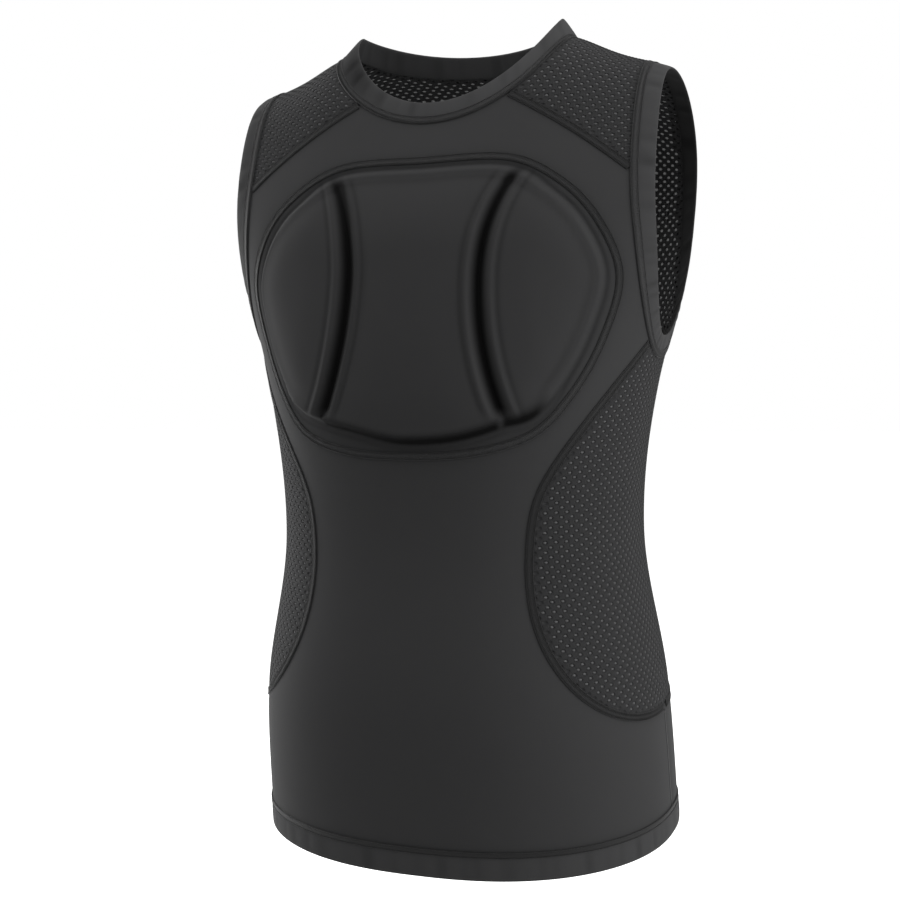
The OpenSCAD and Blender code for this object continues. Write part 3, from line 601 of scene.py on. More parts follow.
ROUND_CELL = np.array([[-1, -1], [0, -1], [1, -1], [1, 0], [1, 1], [0, 1], [-1, 1], [-1, 0]])
CORNERS = len(ROUND_CELL)
OUTER_PART, RIM_PART = 0.45, 0.55  # where an eyelet's middle ring lies between the other two
KEPT_CORNERS = 6  # corners inside the cut that an eyelet needs to stay
SMALLEST_FACE = 1e-9
TINY_SQUARE = 1e-18


class Grain:
    """Coordinates of a cloth: metres across from a meridian in degrees, and metres up it"""

    rows = 260
    spread, per_degree = 125, 2  # degrees covered on each side of the meridian, in half degrees
    reach, columns = 0.42, 1401  # metres covered on each side, and in how many columns

    def __init__(self, trunk, meridian, low, high):
        self.h = np.linspace(low, high, self.rows)
        self.mid = meridian
        half = self.per_degree * self.spread
        self.turns = np.linspace(-self.spread, self.spread, 2 * half + 1)
        angles = self.mid + np.tile(self.turns, (self.rows, 1))
        heights = np.broadcast_to(self.h[:, None], angles.shape)
        points = trunk.point(np.stack([angles, heights], -1))
        steps = np.linalg.norm(np.diff(points, axis=1), axis=2)
        across = np.concatenate([np.zeros((self.rows, 1)), np.cumsum(steps, axis=1)], 1)
        self.across = across - across[:, half : half + 1]
        middle = trunk.point(np.stack([np.full_like(self.h, self.mid), self.h], -1))
        self.up = run_lengths(middle)
        self.s = np.linspace(-self.reach, self.reach, self.columns)
        rows = zip(self.across, angles)
        self.angles = np.stack([np.interp(self.s, gone, angle) for gone, angle in rows])

    def lookup(self, table, row, column):
        """Value of a table between its rows and columns"""
        i = np.clip(np.floor(row).astype(int), 0, table.shape[0] - 2)
        j = np.clip(np.floor(column).astype(int), 0, table.shape[1] - 2)
        u, v = np.clip(row - i, 0, 1), np.clip(column - j, 0, 1)
        return (
            table[i, j] * (1 - u) * (1 - v)
            + table[i + 1, j] * u * (1 - v)
            + table[i, j + 1] * (1 - u) * v
            + table[i + 1, j + 1] * u * v
        )

    def place(self, cloth):
        """Places on the trunk of points of the cloth"""
        h = np.interp(cloth[:, 1], self.up, self.h)
        row = np.interp(h, self.h, np.arange(len(self.h)))
        column = np.interp(cloth[:, 0], self.s, np.arange(len(self.s)))
        return np.stack([self.lookup(self.angles, row, column), h], -1)

    def cloth(self, places):
        """Points of the cloth of places on the trunk"""
        row = np.interp(places[:, 1], self.h, np.arange(len(self.h)))
        column = np.interp(places[:, 0] - self.mid, self.turns, np.arange(len(self.turns)))
        up = np.interp(places[:, 1], self.h, self.up)
        return np.stack([self.lookup(self.across, row, column), up], -1)


def inside(points, ring):
    """Whether points lie inside a closed ring, both flat"""
    x, y = points[:, 0], points[:, 1]
    hit = np.zeros(len(points), bool)
    for (x0, y0), (x1, y1) in zip(ring, np.roll(ring, -1, 0)):
        if y0 != y1:
            crosses = (y0 > y) != (y1 > y)
            hit ^= crosses & (x < x0 + (x1 - x0) * (y - y0) / (y1 - y0))
    return hit


def nearest(points, a, b, chunk=2000):
    """Distance to the nearest of the lines from a to b, its index, and the share along it"""
    run = b - a
    size = np.maximum((run * run).sum(1), TINY_SQUARE)
    gap, index, share = (np.empty(len(points)) for _ in range(3))
    for k in range(0, len(points), chunk):
        p = points[k : k + chunk, None] - a
        t = np.clip((p * run).sum(2) / size, 0, 1)
        d = np.linalg.norm(p - t[..., None] * run, axis=2)
        i = d.argmin(1)
        rows = np.arange(len(i))
        gap[k : k + chunk], index[k : k + chunk], share[k : k + chunk] = d[rows, i], i, t[rows, i]
    return gap, index.astype(int), share


def rim_distance(grid, outline):
    """Distance of the points of a grid to a closed outline"""
    gap = nearest(grid.reshape(-1, 2), outline, np.roll(outline, -1, 0))[0]
    return gap.reshape(grid.shape[:2])


def plain_lattice(low, high, pitch=0.003):
    """Square cells of smooth knit between two corners of the cloth"""
    i = np.arange(math.floor(low[0] / pitch), math.ceil(high[0] / pitch) + 1)
    j = np.arange(math.floor(low[1] / pitch), math.ceil(high[1] / pitch) + 1)
    grid = np.stack(np.meshgrid(i * pitch, j * pitch), -1).reshape(-1, 2)
    w = len(i)
    corner = (np.arange(len(j) - 1)[:, None] * w + np.arange(w - 1)).ravel()
    faces = np.stack([corner, corner + 1, corner + w + 1, corner + w], 1)
    return grid, faces, np.zeros(len(grid), int), None


def eyelet_lattice(low, high, knit, drawn):
    """Staggered cells with an oval hole in each, drawn wider or taller than the knit lies.
    Ring 0 is shared by neighbours and ring 2 is the hole."""
    half = np.array([knit.pitch, knit.row]) * drawn / 2
    i = np.arange(math.floor(low[0] / half[0] / 2) - 1, math.ceil(high[0] / half[0] / 2) + 2)
    j = np.arange(math.floor(low[1] / half[1] / 2) - 1, math.ceil(high[1] / half[1] / 2) + 2)
    jj, ii = (a.ravel() for a in np.meshgrid(j, i, indexing="ij"))
    centre = np.stack([2 * ii + jj % 2, 2 * jj], 1)
    corners = (centre[:, None] + ROUND_CELL).reshape(-1, 2)
    shared, index = np.unique(corners, axis=0, return_inverse=True)
    index = index.reshape(-1, CORNERS)
    turn = np.radians(225 + 360 // CORNERS * np.arange(CORNERS))
    across, up = np.cos(turn) * knit.hole_width / 2, np.sin(turn) * knit.hole_height / 2
    middle = centre * half
    outer = middle[:, None] + ROUND_CELL * half
    rim = middle[:, None] + np.stack([across, up], 1) * drawn
    between = OUTER_PART * outer + RIM_PART * rim
    n0, n1 = len(shared), CORNERS * len(centre)
    cloth = np.concatenate([shared * half, between.reshape(-1, 2), rim.reshape(-1, 2)])
    ring1 = n0 + np.arange(n1).reshape(-1, CORNERS)
    ring2 = ring1 + n1
    faces = [
        np.stack([a, np.roll(a, -1, 1), np.roll(b, -1, 1), b], -1).reshape(-1, 4)
        for a, b in ((index, ring1), (ring1, ring2))
    ]
    ring = np.repeat([0, 1, 2], [n0, n1, n1])
    return cloth, np.concatenate(faces), ring, ring2


def face_area(points, faces):
    p = points[faces]
    return np.linalg.norm(np.cross(p[:, 2] - p[:, 0], p[:, 3] - p[:, 1]), axis=1) / 2


def cut_cloth(pattern, grain, outline, lattice, window=None):
    """Cuts a lattice to its outline: the corners of cells that cross the cut are drawn onto it"""
    low, high = (f(grain.cloth(outline), 0) for f in (np.min, np.max))
    cloth, faces, ring, holes = lattice(low, high)
    places = grain.place(cloth)
    kept = inside(places, outline)
    rings = [outline]
    if window is not None:
        kept &= ~inside(places, window)
        rings.append(window)
    faces = faces[kept[faces].any(1)]
    used = np.unique(faces)
    cut = np.concatenate(rings)
    border = pattern.point(cut)
    parts = np.split(np.arange(len(cut)), np.cumsum([len(r) for r in rings])[:-1])
    after = np.concatenate([np.roll(part, -1) for part in parts])
    distance, index, share = nearest(pattern.point(places)[used], border, border[after])
    gap = np.full(len(places), 1.0)
    gap[used] = np.where(kept[used], distance, 0)
    out = ~kept[used]
    moved = cut[index] + share[:, None] * (cut[after[index]] - cut[index])
    places[used[out]] = moved[out]
    faces = faces[face_area(pattern.point(places), faces) > SMALLEST_FACE]
    named = np.unique(faces)
    if holes is not None:
        holes = holes[kept[holes].sum(1) >= KEPT_CORNERS]
        named = np.union1d(named, holes)
    order = np.full(len(places), -1)
    order[named] = np.arange(len(named))
    return {
        "places": places[named],
        "cloth": cloth[named],
        "ring": ring[named],
        "gap": gap[named],
        "faces": order[faces],
        "holes": None if holes is None else order[holes],
    }


# ---- meshes ----


def quads(m, n, closed_rows, closed_ring):
    """Faces between m rows of n points; rows close on each other, and each row on itself"""
    i = np.arange(m if closed_rows else m - 1)
    j = np.arange(n if closed_ring else n - 1)
    ii, jj = (a.ravel() for a in np.meshgrid(i, j, indexing="ij"))
    a, b = ii * n + jj, ii * n + (jj + 1) % n
    c, d = ((ii + 1) % m) * n + (jj + 1) % n, ((ii + 1) % m) * n + jj
    return np.stack([a, b, c, d], 1)


def loft(rows, closed_rows=True):
    """Points and faces of closed rows of points that follow each other"""
    rows = np.asarray(rows)
    return rows.reshape(-1, 3), quads(*rows.shape[:2], closed_rows, True)


def walled(outer, inner, faces):
    """Closes two skins along every open edge of their shared faces"""
    n = len(outer)
    edges = np.concatenate([faces[:, [k, (k + 1) % 4]] for k in range(4)])
    _, first, uses = np.unique(np.sort(edges, 1), axis=0, return_index=True, return_counts=True)
    rim = edges[first[uses == 1]]
    walls = np.stack([rim[:, 1], rim[:, 0], rim[:, 0] + n, rim[:, 1] + n], 1)
    return np.concatenate([outer, inner]), np.concatenate([faces, faces[:, ::-1] + n, walls])


def build(name, points, faces, materials, grain, crease=None, face_material=None):
    """Makes a smooth mesh piece. grain holds the cloth's own coordinates, and the argument after it
    the painted shade of each point, darker in folds, recesses and on insides."""
    mesh = bpy.data.meshes.new(name)
    mesh.from_pydata(np.asarray(points).tolist(), [], [list(map(int, f)) for f in faces])
    for material in materials:
        mesh.materials.append(material)
    mesh.polygons.foreach_set("use_smooth", np.ones(len(mesh.polygons), bool))
    if face_material is not None:
        mesh.polygons.foreach_set("material_index", np.asarray(face_material, np.int32))
    corner = np.empty(len(mesh.loops), np.int32)
    mesh.loops.foreach_get("vertex_index", corner)
    uv = mesh.uv_layers.new(name="Grain")
    uv.data.foreach_set("uv", np.asarray(grain, np.float32)[corner].ravel())
    if crease is None:
        crease = np.zeros(len(mesh.vertices))
    # the painted shade goes on the points, where the dye group darkens the colour by it
    fold = mesh.attributes.new("crease", "FLOAT", "POINT")
    fold.data.foreach_set("value", np.asarray(crease, np.float32))
    mesh.update()
    obj = bpy.data.objects.new(name, mesh)
    bpy.context.scene.collection.objects.link(obj)
    if not len(mesh.polygons):
        raise RuntimeError(f"{name} has no faces")
    return obj


def tidy(obj, distance=2e-6):
    """Merges points that coincide and takes out faces without area"""
    work = bmesh.new()
    work.from_mesh(obj.data)
    bmesh.ops.remove_doubles(work, verts=work.verts, dist=distance)
    bmesh.ops.dissolve_degenerate(work, edges=work.edges, dist=distance)
    work.to_mesh(obj.data)
    work.free()
    return obj


def piece(obj, node, sheet=None):
    """Sets a piece in the place of its node; sheet, its flat width, height and area, is not used"""
    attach(obj, "root")
    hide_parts(node)
    return obj


STRETCH = 1.05  # how far the cloth is stretched over the trunk


def cut_size(points, faces, holes=None):
    """Flat width, height and area of a cloth before it was stretched onto the trunk. Its eyelets
    are part of the cut."""
    low, high = points.min(0), points.max(0)
    width, height = (high - low) / STRETCH
    area = face_area(np.concatenate([points, np.zeros((len(points), 1))], 1), faces).sum()
    if holes is not None:
        x, y = points[holes][..., 0], points[holes][..., 1]
        area += 0.5 * np.abs((x * np.roll(y, -1, 1) - y * np.roll(x, -1, 1)).sum(1)).sum()
    return float(width), float(height), float(min(area / STRETCH**2, width * height))


# ---- materials ----


class Tree:
    """Small helper that places nodes and links them"""

    def __init__(self, tree):
        self.tree = tree
        self.tree.nodes.clear()

    def node(self, kind, **values):
        """Places a node; a value goes to its property, or else to its socket of that name"""
        made = self.tree.nodes.new(kind)
        for key, value in values.items():
            if hasattr(made, key):
                setattr(made, key, value)
            else:
                self.feed(made.inputs[key.replace("_", " ")], value)
        return made

    def math(self, operation, a, b=0.0):
        """Places a Math node and gives its result"""
        made = self.node("ShaderNodeMath", operation=operation)
        for socket, value in zip(made.inputs, (a, b)):
            self.feed(socket, value)
        return made.outputs[0]

    def wave(self, value):
        """Sine of a value's whole turns"""
        return self.math("SINE", self.math("MULTIPLY", value, 2 * math.pi))

    def feed(self, socket, value):
        if isinstance(value, bpy.types.NodeSocket):
            self.link(value, socket)
        else:
            socket.default_value = value

    def link(self, a, b):
        self.tree.links.new(a, b)


def group(name, inputs, outputs):
    """A node group with named sockets"""
    tree = bpy.data.node_groups.new(name, "ShaderNodeTree")
    for title, kind, value in inputs:
        socket = tree.interface.new_socket(title, in_out="INPUT", socket_type=kind)
        if value is not None:
            socket.default_value = value
    for title, kind in outputs:
        tree.interface.new_socket(title, in_out="OUTPUT", socket_type=kind)
    return Tree(tree)


COURSE_SHARE = 0.8  # height of a knit's loop as a share of its width
LOOP_HEIGHT = 0.35  # relief of the loops against that of the wales


def knit_group():
    """Fine wales and courses of a smooth knit, as a height, and the soft mottling of its dye"""
    t = group(
        "Fine knit",
        [("Wale", "NodeSocketFloat", 0.0009), ("Mottle", "NodeSocketFloat", 0.06)],
        [("Height", "NodeSocketFloat"), ("Tone", "NodeSocketFloat")],
    )
    given = t.node("NodeGroupInput")
    uv = t.node("ShaderNodeUVMap", uv_map="Grain")
    split = t.node("ShaderNodeSeparateXYZ", Vector=uv.outputs[0])
    across = t.math("DIVIDE", split.outputs[0], given.outputs["Wale"])
    course = t.math("MULTIPLY", given.outputs["Wale"], COURSE_SHARE)
    up = t.math("DIVIDE", split.outputs[1], course)
    lean = t.math("ABSOLUTE", t.math("SUBTRACT", t.math("FRACT", across), 0.5))
    wale = t.math("SINE", t.math("MULTIPLY", lean, math.pi))
    loop = t.wave(t.math("ADD", up, lean))
    fine = t.math("ADD", wale, t.math("MULTIPLY", loop, LOOP_HEIGHT))
    soft = t.node("ShaderNodeTexNoise", Vector=uv.outputs[0], Scale=38.0, Detail=4.0)
    uneven = t.math("SUBTRACT", soft.outputs["Fac"], 0.5)
    tone = t.math("ADD", 1.0, t.math("MULTIPLY", uneven, given.outputs["Mottle"]))
    out = t.node("NodeGroupOutput")
    t.link(fine, out.inputs["Height"])
    t.link(tone, out.inputs["Tone"])
    return t.tree


def dye_group():
    """Colour of a cloth: its dye, mottled, and darkened by painted shade in its folds and recesses
    """
    t = group(
        "Dyed cloth",
        [
            ("Dye", "NodeSocketColor", (0.03, 0.03, 0.03, 1)),
            ("Tone", "NodeSocketFloat", 1.0),
            ("Fold", "NodeSocketFloat", 0.8),
        ],
        [("Colour", "NodeSocketColor")],
    )
    given = t.node("NodeGroupInput")
    crease = t.node("ShaderNodeAttribute", attribute_name="crease")
    # painted shade: the dye darkens as the points' stored shade rises, at the given strength
    dark = t.math("MULTIPLY", crease.outputs["Fac"], given.outputs["Fold"])
    shade = t.math("MULTIPLY", t.math("SUBTRACT", 1.0, dark), given.outputs["Tone"])
    colour_out = t.node("ShaderNodeVectorMath", operation="SCALE")
    t.link(given.outputs["Dye"], colour_out.inputs[0])
    t.link(shade, colour_out.inputs["Scale"])
    out = t.node("NodeGroupOutput")
    t.link(colour_out.outputs[0], out.inputs["Colour"])
    return t.tree


def twist_group():
    """Plies of a thread, as a height"""
    t = group("Thread twist", [("Ply", "NodeSocketFloat", 0.0008)], [("Height", "NodeSocketFloat")])
    given = t.node("NodeGroupInput")
    uv = t.node("ShaderNodeUVMap", uv_map="Grain")
    split = t.node("ShaderNodeSeparateXYZ", Vector=uv.outputs[0])
    turn = t.math("DIVIDE", t.math("ADD", split.outputs[0], split.outputs[1]), given.outputs["Ply"])
    out = t.node("NodeGroupOutput")
    t.link(t.wave(turn), out.inputs["Height"])
    return t.tree


def shared_group(name, make):
    return bpy.data.node_groups.get(name) or make()


def dyed_material(name, dye, effect, given, bump, fold, **finish):
    """A dyed surface: a group gives its relief, and painted shade darkens the dye in its folds and
    recesses; fold is its strength
    """
    if name in bpy.data.materials:
        return bpy.data.materials[name]
    material = bpy.data.materials.new(name)
    material.use_nodes = True
    t = Tree(material.node_tree)
    surface = t.node("ShaderNodeGroup", node_tree=shared_group(*effect), **given)
    # colour: dye and mottle, darkened by the painted shade at the strength fold
    cloth = t.node("ShaderNodeGroup", node_tree=shared_group("Dyed cloth", dye_group), Fold=fold)
    cloth.inputs["Dye"].default_value = (*dye, 1)
    if "Tone" in surface.outputs:
        t.link(surface.outputs["Tone"], cloth.inputs["Tone"])
    strength, distance = bump
    relief = t.node("ShaderNodeBump", Strength=strength, Distance=distance)
    t.link(surface.outputs["Height"], relief.inputs["Height"])
    shader = t.node("ShaderNodeBsdfPrincipled", **finish)
    t.link(cloth.outputs["Colour"], shader.inputs["Base Color"])
    t.link(relief.outputs[0], shader.inputs["Normal"])
    out = t.node("ShaderNodeOutputMaterial")
    t.link(shader.outputs[0], out.inputs["Surface"])
    return material


def cloth_material(name, dye, rough=0.8, sheen=0.02, wale=0.0009, bump=0.12, fold=0.8, alpha=1.0):
    """A knitted cloth"""
    # fold is how strongly the painted shade darkens this cloth's dye
    return dyed_material(
        name,
        dye,
        ("Fine knit", knit_group),
        {"Wale": wale},
        (bump, 0.0002),
        fold,
        Roughness=rough,
        Sheen_Weight=sheen,
        Sheen_Roughness=0.45,
        Specular_IOR_Level=0.05,
        Alpha=alpha,
    )


def thread_material(name, dye):
    """Spun polyester thread"""
    return dyed_material(
        name,
        dye,
        ("Thread twist", twist_group),
        {},
        (0.3, 0.0001),
        # strength of the painted shade on the thread
        0.85,
        Roughness=0.6,
        Sheen_Weight=0.03,
        Specular_IOR_Level=0.1,
    )


# ---- cloth panels ----


EDGE_SINK, EDGE_SPAN = 0.0005, 0.0035  # a cloth sinks towards its cut, over a length
INNER_SINK = 0.2  # share of it that its inside sinks
EYELET_LIFT = np.array([-0.00012, 0.0001, -0.0003])  # of an eyelet's three rings: outer to hole
HOLE_TURN = 0.0002  # how far the inside turns in towards a hole
SHUT_GAP = 0.0045  # eyelets that lie nearer to a cut are sewn shut
NET_HEIGHT = 0.0007  # height of the net above the trunk
NET_HALF = 0.00012  # half of its thickness
SHUT_SINK = 0.0001  # how far a shut eyelet's middle sinks
# painted shade along a panel's cut and on its inside skin
EDGE_DARK, DARK_SPAN, INNER_DARK = 0.4, 0.003, 0.3  # shade along a cut and on the inside


def panel(pattern, node, grain, outline, lattice, materials, window=None, flip=False):
    """Cuts one panel and sets it in the place of its node. Eyelets get a net behind them."""
    cut = cut_cloth(pattern, grain, outline, lattice, window)
    gap, ring, holes = cut["gap"], cut["ring"], cut["holes"]
    netted = holes is not None
    surface = pattern.sizes.cloth
    top = surface + EYELET_LIFT[ring] * netted
    shut = gap[holes].min(1) < SHUT_GAP if netted else None
    if netted:
        top[holes[shut]] = surface + EYELET_LIFT[0]
    sink = EDGE_SINK * np.exp(-gap / EDGE_SPAN)
    skin = top - sink
    inner = np.where(ring == 2, HOLE_TURN, 0.0) - INNER_SINK * sink
    base, outward = pattern.point(cut["places"]), pattern.outward(cut["places"])
    points, faces = walled(
        base + skin[:, None] * outward, base + inner[:, None] * outward, cut["faces"]
    )
    faces = faces.tolist()
    cloth = np.concatenate([cut["cloth"], cut["cloth"]])
    # painted shade: darker near the cut, and all over the inside
    edge_dark = EDGE_DARK * np.exp(-gap / DARK_SPAN)
    crease = np.concatenate([edge_dark, np.full(len(gap), INNER_DARK)])
    index = [0] * len(faces)
    if netted:
        net_points, net_faces = net_behind(base[holes], outward[holes], skin[holes], shut)
        faces += (net_faces + len(points)).tolist()
        points = np.concatenate([points, net_points])
        index += np.tile(np.repeat(np.where(shut, 0, 1), CORNERS), 2).tolist()
        flat = cut["cloth"][holes]
        middle = flat.mean(1)
        cloth = np.concatenate([cloth, flat.reshape(-1, 2), middle, middle])
        crease = np.concatenate([crease, np.zeros(len(net_points))])
    if flip:
        points = points * [-1, 1, 1]
        faces = [f[::-1] for f in faces]
    name = node.capitalize().replace("_body", "")
    obj = build(name, points, faces, materials, cloth, crease, index)
    return piece(tidy(obj), node, cut_size(cut["cloth"], cut["faces"], holes))


def net_behind(rims, outward, skin, shut):
    """Points and faces that close each eyelet: a fine net behind it, or cloth where it is shut"""
    n = len(rims)
    lift = np.where(shut[:, None], skin, NET_HEIGHT)
    rim = rims + lift[..., None] * outward
    middle = lift.mean(1)[:, None] - np.where(shut, SHUT_SINK, 0)[:, None]
    centres, lean = rims.mean(1), outward.mean(1)
    points = np.concatenate(
        [
            rim.reshape(-1, 3),
            centres + (middle + NET_HALF) * lean,
            centres + (middle - NET_HALF) * lean,
        ]
    )
    first = np.arange(CORNERS * n).reshape(-1, CORNERS)
    after = np.roll(first, -1, 1)
    up, low = (
        np.broadcast_to((CORNERS * n + k * n + np.arange(n))[:, None], first.shape) for k in (0, 1)
    )
    ups = np.stack([first, after, up], -1).reshape(-1, 3)
    lows = np.stack([after, first, low], -1).reshape(-1, 3)
    return points, np.concatenate([ups, lows])


def front_outline(p):
    s = p.sizes
    hem = line([-90, s.hem], [90, s.hem], 120)
    right = joined(
        p.side_bottom,
        p.side_front,
        p.arm_front(s.binding, (p.mesh_share, p.yoke_share)),
        p.yoke_front[::-1],
        p.neck_part(0, p.yoke_angle())[::-1],
    )
    return np.concatenate([hem[:-1], right, mirror(right[::-1])])


def back_outline(p):
    s = p.sizes
    hem = line([90, s.hem], [270, s.hem], 120)
    left = joined(p.side_bottom, p.side_back, p.arm_back(s.binding, (p.mesh_share, p.back_share)))
    return np.concatenate([hem[::-1][:-1], left, p.yoke_back[:-1], opposite(left[::-1])])


def back_yoke_outline(p):
    s = p.sizes
    half = joined(
        p.arm_back(s.binding, (p.back_share, 1)),
        p.shoulder_line(-1)[::-1],
        p.neck_part(p.just_behind, 180),
    )
    return np.concatenate([p.yoke_back[::-1][:-1], half, opposite(half[::-1])])


def front_yoke_outline(p):
    return joined(
        p.yoke_front,
        p.arm_front(p.sizes.binding, (p.yoke_share, 1)),
        p.shoulder_line(1)[::-1],
        p.neck_part(p.yoke_angle(), 90)[::-1],
    )


def side_outline(p):
    s = p.sizes
    shares = (0, p.mesh_share)
    top = joined(p.arm_front(s.binding, shares)[::-1], p.arm_back(s.binding, shares))
    return np.concatenate([p.side_front[:-1], top, p.side_back[::-1][:-1]])


WINDOW_STEPS, PAD_STEPS = 90, 120  # points round the pad's window, and round its outline


class SHIRT_OT_body_panels(bpy.types.Operator):
    """Cuts the front and back panels of smooth knit"""

    bl_idname = "shirt.body_panels"
    bl_label = "Body Panels"

    def execute(self, context):
        p = Pattern(context.scene)
        knit = cloth_material("Smooth knit", context.scene.shirt_colours.knit)
        window = p.place(*p.pad_outline(WINDOW_STEPS)[:-1].T)
        front = Grain(p, 0, 0.0, p.ridge_top)
        outline = front_outline(p)
        panel(p, "front_body_panel", front, outline, plain_lattice, [knit], window)
        back = Grain(p, 180, 0.0, p.ridge_top)
        panel(p, "back_body_panel", back, back_outline(p), plain_lattice, [knit])
        return {"FINISHED"}


# how much wider and taller each mesh is drawn than it is knitted
DRAWN_SIDE, DRAWN_FRONT, DRAWN_BACK = (1.1, 0.94), (0.96, 0.9), (1.1, 1.04)
YOKE_MIDDLE = 0.105, 0.3  # x and z of a place on the front yoke's meridian
SIDE_HEIGHTS, YOKE_LOW, BACK_YOKE_LOW = (0.08, 0.5), 0.44, 0.34  # heights that the cloths cover


class SHIRT_OT_mesh_panels(bpy.types.Operator):
    """Cuts the yokes and side panels of eyelet mesh"""

    bl_idname = "shirt.mesh_panels"
    bl_label = "Mesh Panels"

    def execute(self, context):
        p = Pattern(context.scene)
        colours = context.scene.shirt_colours
        knit = context.scene.shirt_mesh
        # fold=0.6: the eyelet mesh takes less of the painted shade
        mesh = cloth_material("Eyelet mesh", colours.mesh, bump=0.2, fold=0.6)
        net = cloth_material("Fine net", colours.net, sheen=0.0, wale=0.0005)
        sheer = cloth_material("Sheer net", colours.net, sheen=0.0, wale=0.0005, alpha=0.74)

        def eyelets(drawn):
            return lambda low, high: eyelet_lattice(low, high, knit, drawn)

        side = Grain(p, 90, *SIDE_HEIGHTS)
        yoke = Grain(p, float(p.place(*YOKE_MIDDLE)[0]), YOKE_LOW, p.ridge_top)
        back = Grain(p, 180, BACK_YOKE_LOW, p.ridge_top)
        for word, flip in SIDES:
            for part, grain, outline, lattice in (
                ("side_mesh", side, side_outline(p), eyelets(DRAWN_SIDE)),
                ("front_yoke", yoke, front_yoke_outline(p), eyelets(DRAWN_FRONT)),
            ):
                panel(p, f"{part}_{word}", grain, outline, lattice, [mesh, net], flip=flip)
        panel(p, "back_yoke", back, back_yoke_outline(p), eyelets(DRAWN_BACK), [mesh, sheer])
        return {"FINISHED"}


# ---- doubled bands ----


BAND_STEPS = np.array([1.0, 0.93, 0.8, 0.62, 0.45, 0.3, 0.18])  # shares of its width, to the fold
BAND_CROWN = 0.00025
BINDING_STEPS = 150  # points round an armhole
# painted shade in the puckers, along the seam over a length, and inside the bands
PUCKER_DARK, BAND_EDGE_DARK, BAND_DARK_SPAN = 0.3, 0.4, 0.0015
HEM_INNER_DARK, NECK_INNER_DARK, ARM_INNER_DARK = 0.2, 0.0, 0.75
DEEP_PUCKER = 2  # depth, in standard deviations, at which a pucker's shade is full
BULGE_SKEW, BULGE_POWER = 0.7, 0.5  # how the shade is spread across a band
# painted shade that makes the wearer's right binding darker than the left one
RIGHT_BINDING_DARK = 0.55  # shade of the wearer's right binding
# seed, waves round the ring and height of the puckers of each band
ARM_PUCKERS = (5, range(16, 62), 0.0038)
HEM_PUCKERS = (9, range(20, 90), 0.0017)
NECK_PUCKERS = (13, range(12, 46), 0.0025)
# the neck band's painted shade patch: how dark it is, and its middle and spread in degrees round
# the neck
NECK_SHADE, SHADE_AT, SHADE_SPAN = 0.86, 303, 23


def band_section(width, thick, single, turns=7):
    """Section of a doubled band as (distance from its fold, offset): down the outside, round the
    fold and back inside"""
    extra = (thick - single) / 2
    high, low = single + extra, -extra
    r = thick / 2
    middle = (high + low) / 2
    away = BAND_STEPS * width
    crown = BAND_CROWN * np.sin(np.pi * np.clip(away / width, 0, 1))
    outside = np.stack([away, high + crown], 1)
    a = np.radians(np.linspace(90, 270, turns))
    fold = np.stack([r + r * np.cos(a), middle + r * np.sin(a)], 1)
    back = np.stack([away[::-1], np.full(len(away), low)], 1)
    return np.concatenate([outside, fold, back])


def arched(away, width):
    """Share of a pucker's height at a distance from a band's fold: none at the fold and the seam"""
    return math.sin(math.pi * min(1, away / width))


def wavy(n, seed, waves, size):
    """A soft random wave round a closed ring"""
    rng = np.random.default_rng(seed)
    t = np.linspace(0, 2 * np.pi, n, endpoint=False)
    total = np.zeros(n)
    for k in waves:
        total += rng.uniform(0.3, 1) * np.sin(k * t + rng.uniform(0, 2 * np.pi))
    return size * total / len(waves)


def ring_uv(rows, section):
    """Cloth coordinates of a lofted band: metres round it and metres across it"""
    round_it, across = run_lengths(rows[len(rows) // 2]), run_lengths(section)
    return np.stack(np.broadcast_arrays(round_it[None], across[:, None]), -1).reshape(-1, 2)


class Band:
    """A doubled band: its section, its width, its puckers and its rows of points round the ring"""

    def __init__(self, section, width, puckers, rows, material):
        self.section, self.width, self.puckers = section, width, puckers[::-1]
        self.rows, self.material = np.array(rows)[:, ::-1], material

    def finish(self, node, slot, inner, shade=0.0, flip=False):
        """Sets it over its node. inner is the painted shade inside it, and shade the painted shade
        on its outside.
        """
        points, faces = loft(self.rows)
        if flip:
            points, faces = points * [-1, 1, 1], faces[:, ::-1]
        away = self.section[:, 0]
        # painted shade: along the seam, inside the band, in the pucker valleys, and any patch given
        edge = BAND_EDGE_DARK * np.exp(-(away.max() - away) / BAND_DARK_SPAN)
        behind = inner * (np.arange(len(away)) >= len(away) // 2)
        dent = np.clip(-self.puckers / (DEEP_PUCKER * self.puckers.std()), 0, 1)
        bulge = np.sin(np.pi * np.clip(away / away.max(), 0, 1) ** BULGE_SKEW) ** BULGE_POWER
        crease = (edge + behind)[:, None] + (PUCKER_DARK * dent + shade) * bulge[:, None]
        crease = np.clip(crease, 0, 1).ravel()
        uv = ring_uv(self.rows, self.section)
        obj = build(node.capitalize(), points, faces.tolist(), [self.material], uv, crease)
        around = float(run_lengths(self.rows[0])[-1])
        piece(obj, node, (self.width, around, self.width * around))


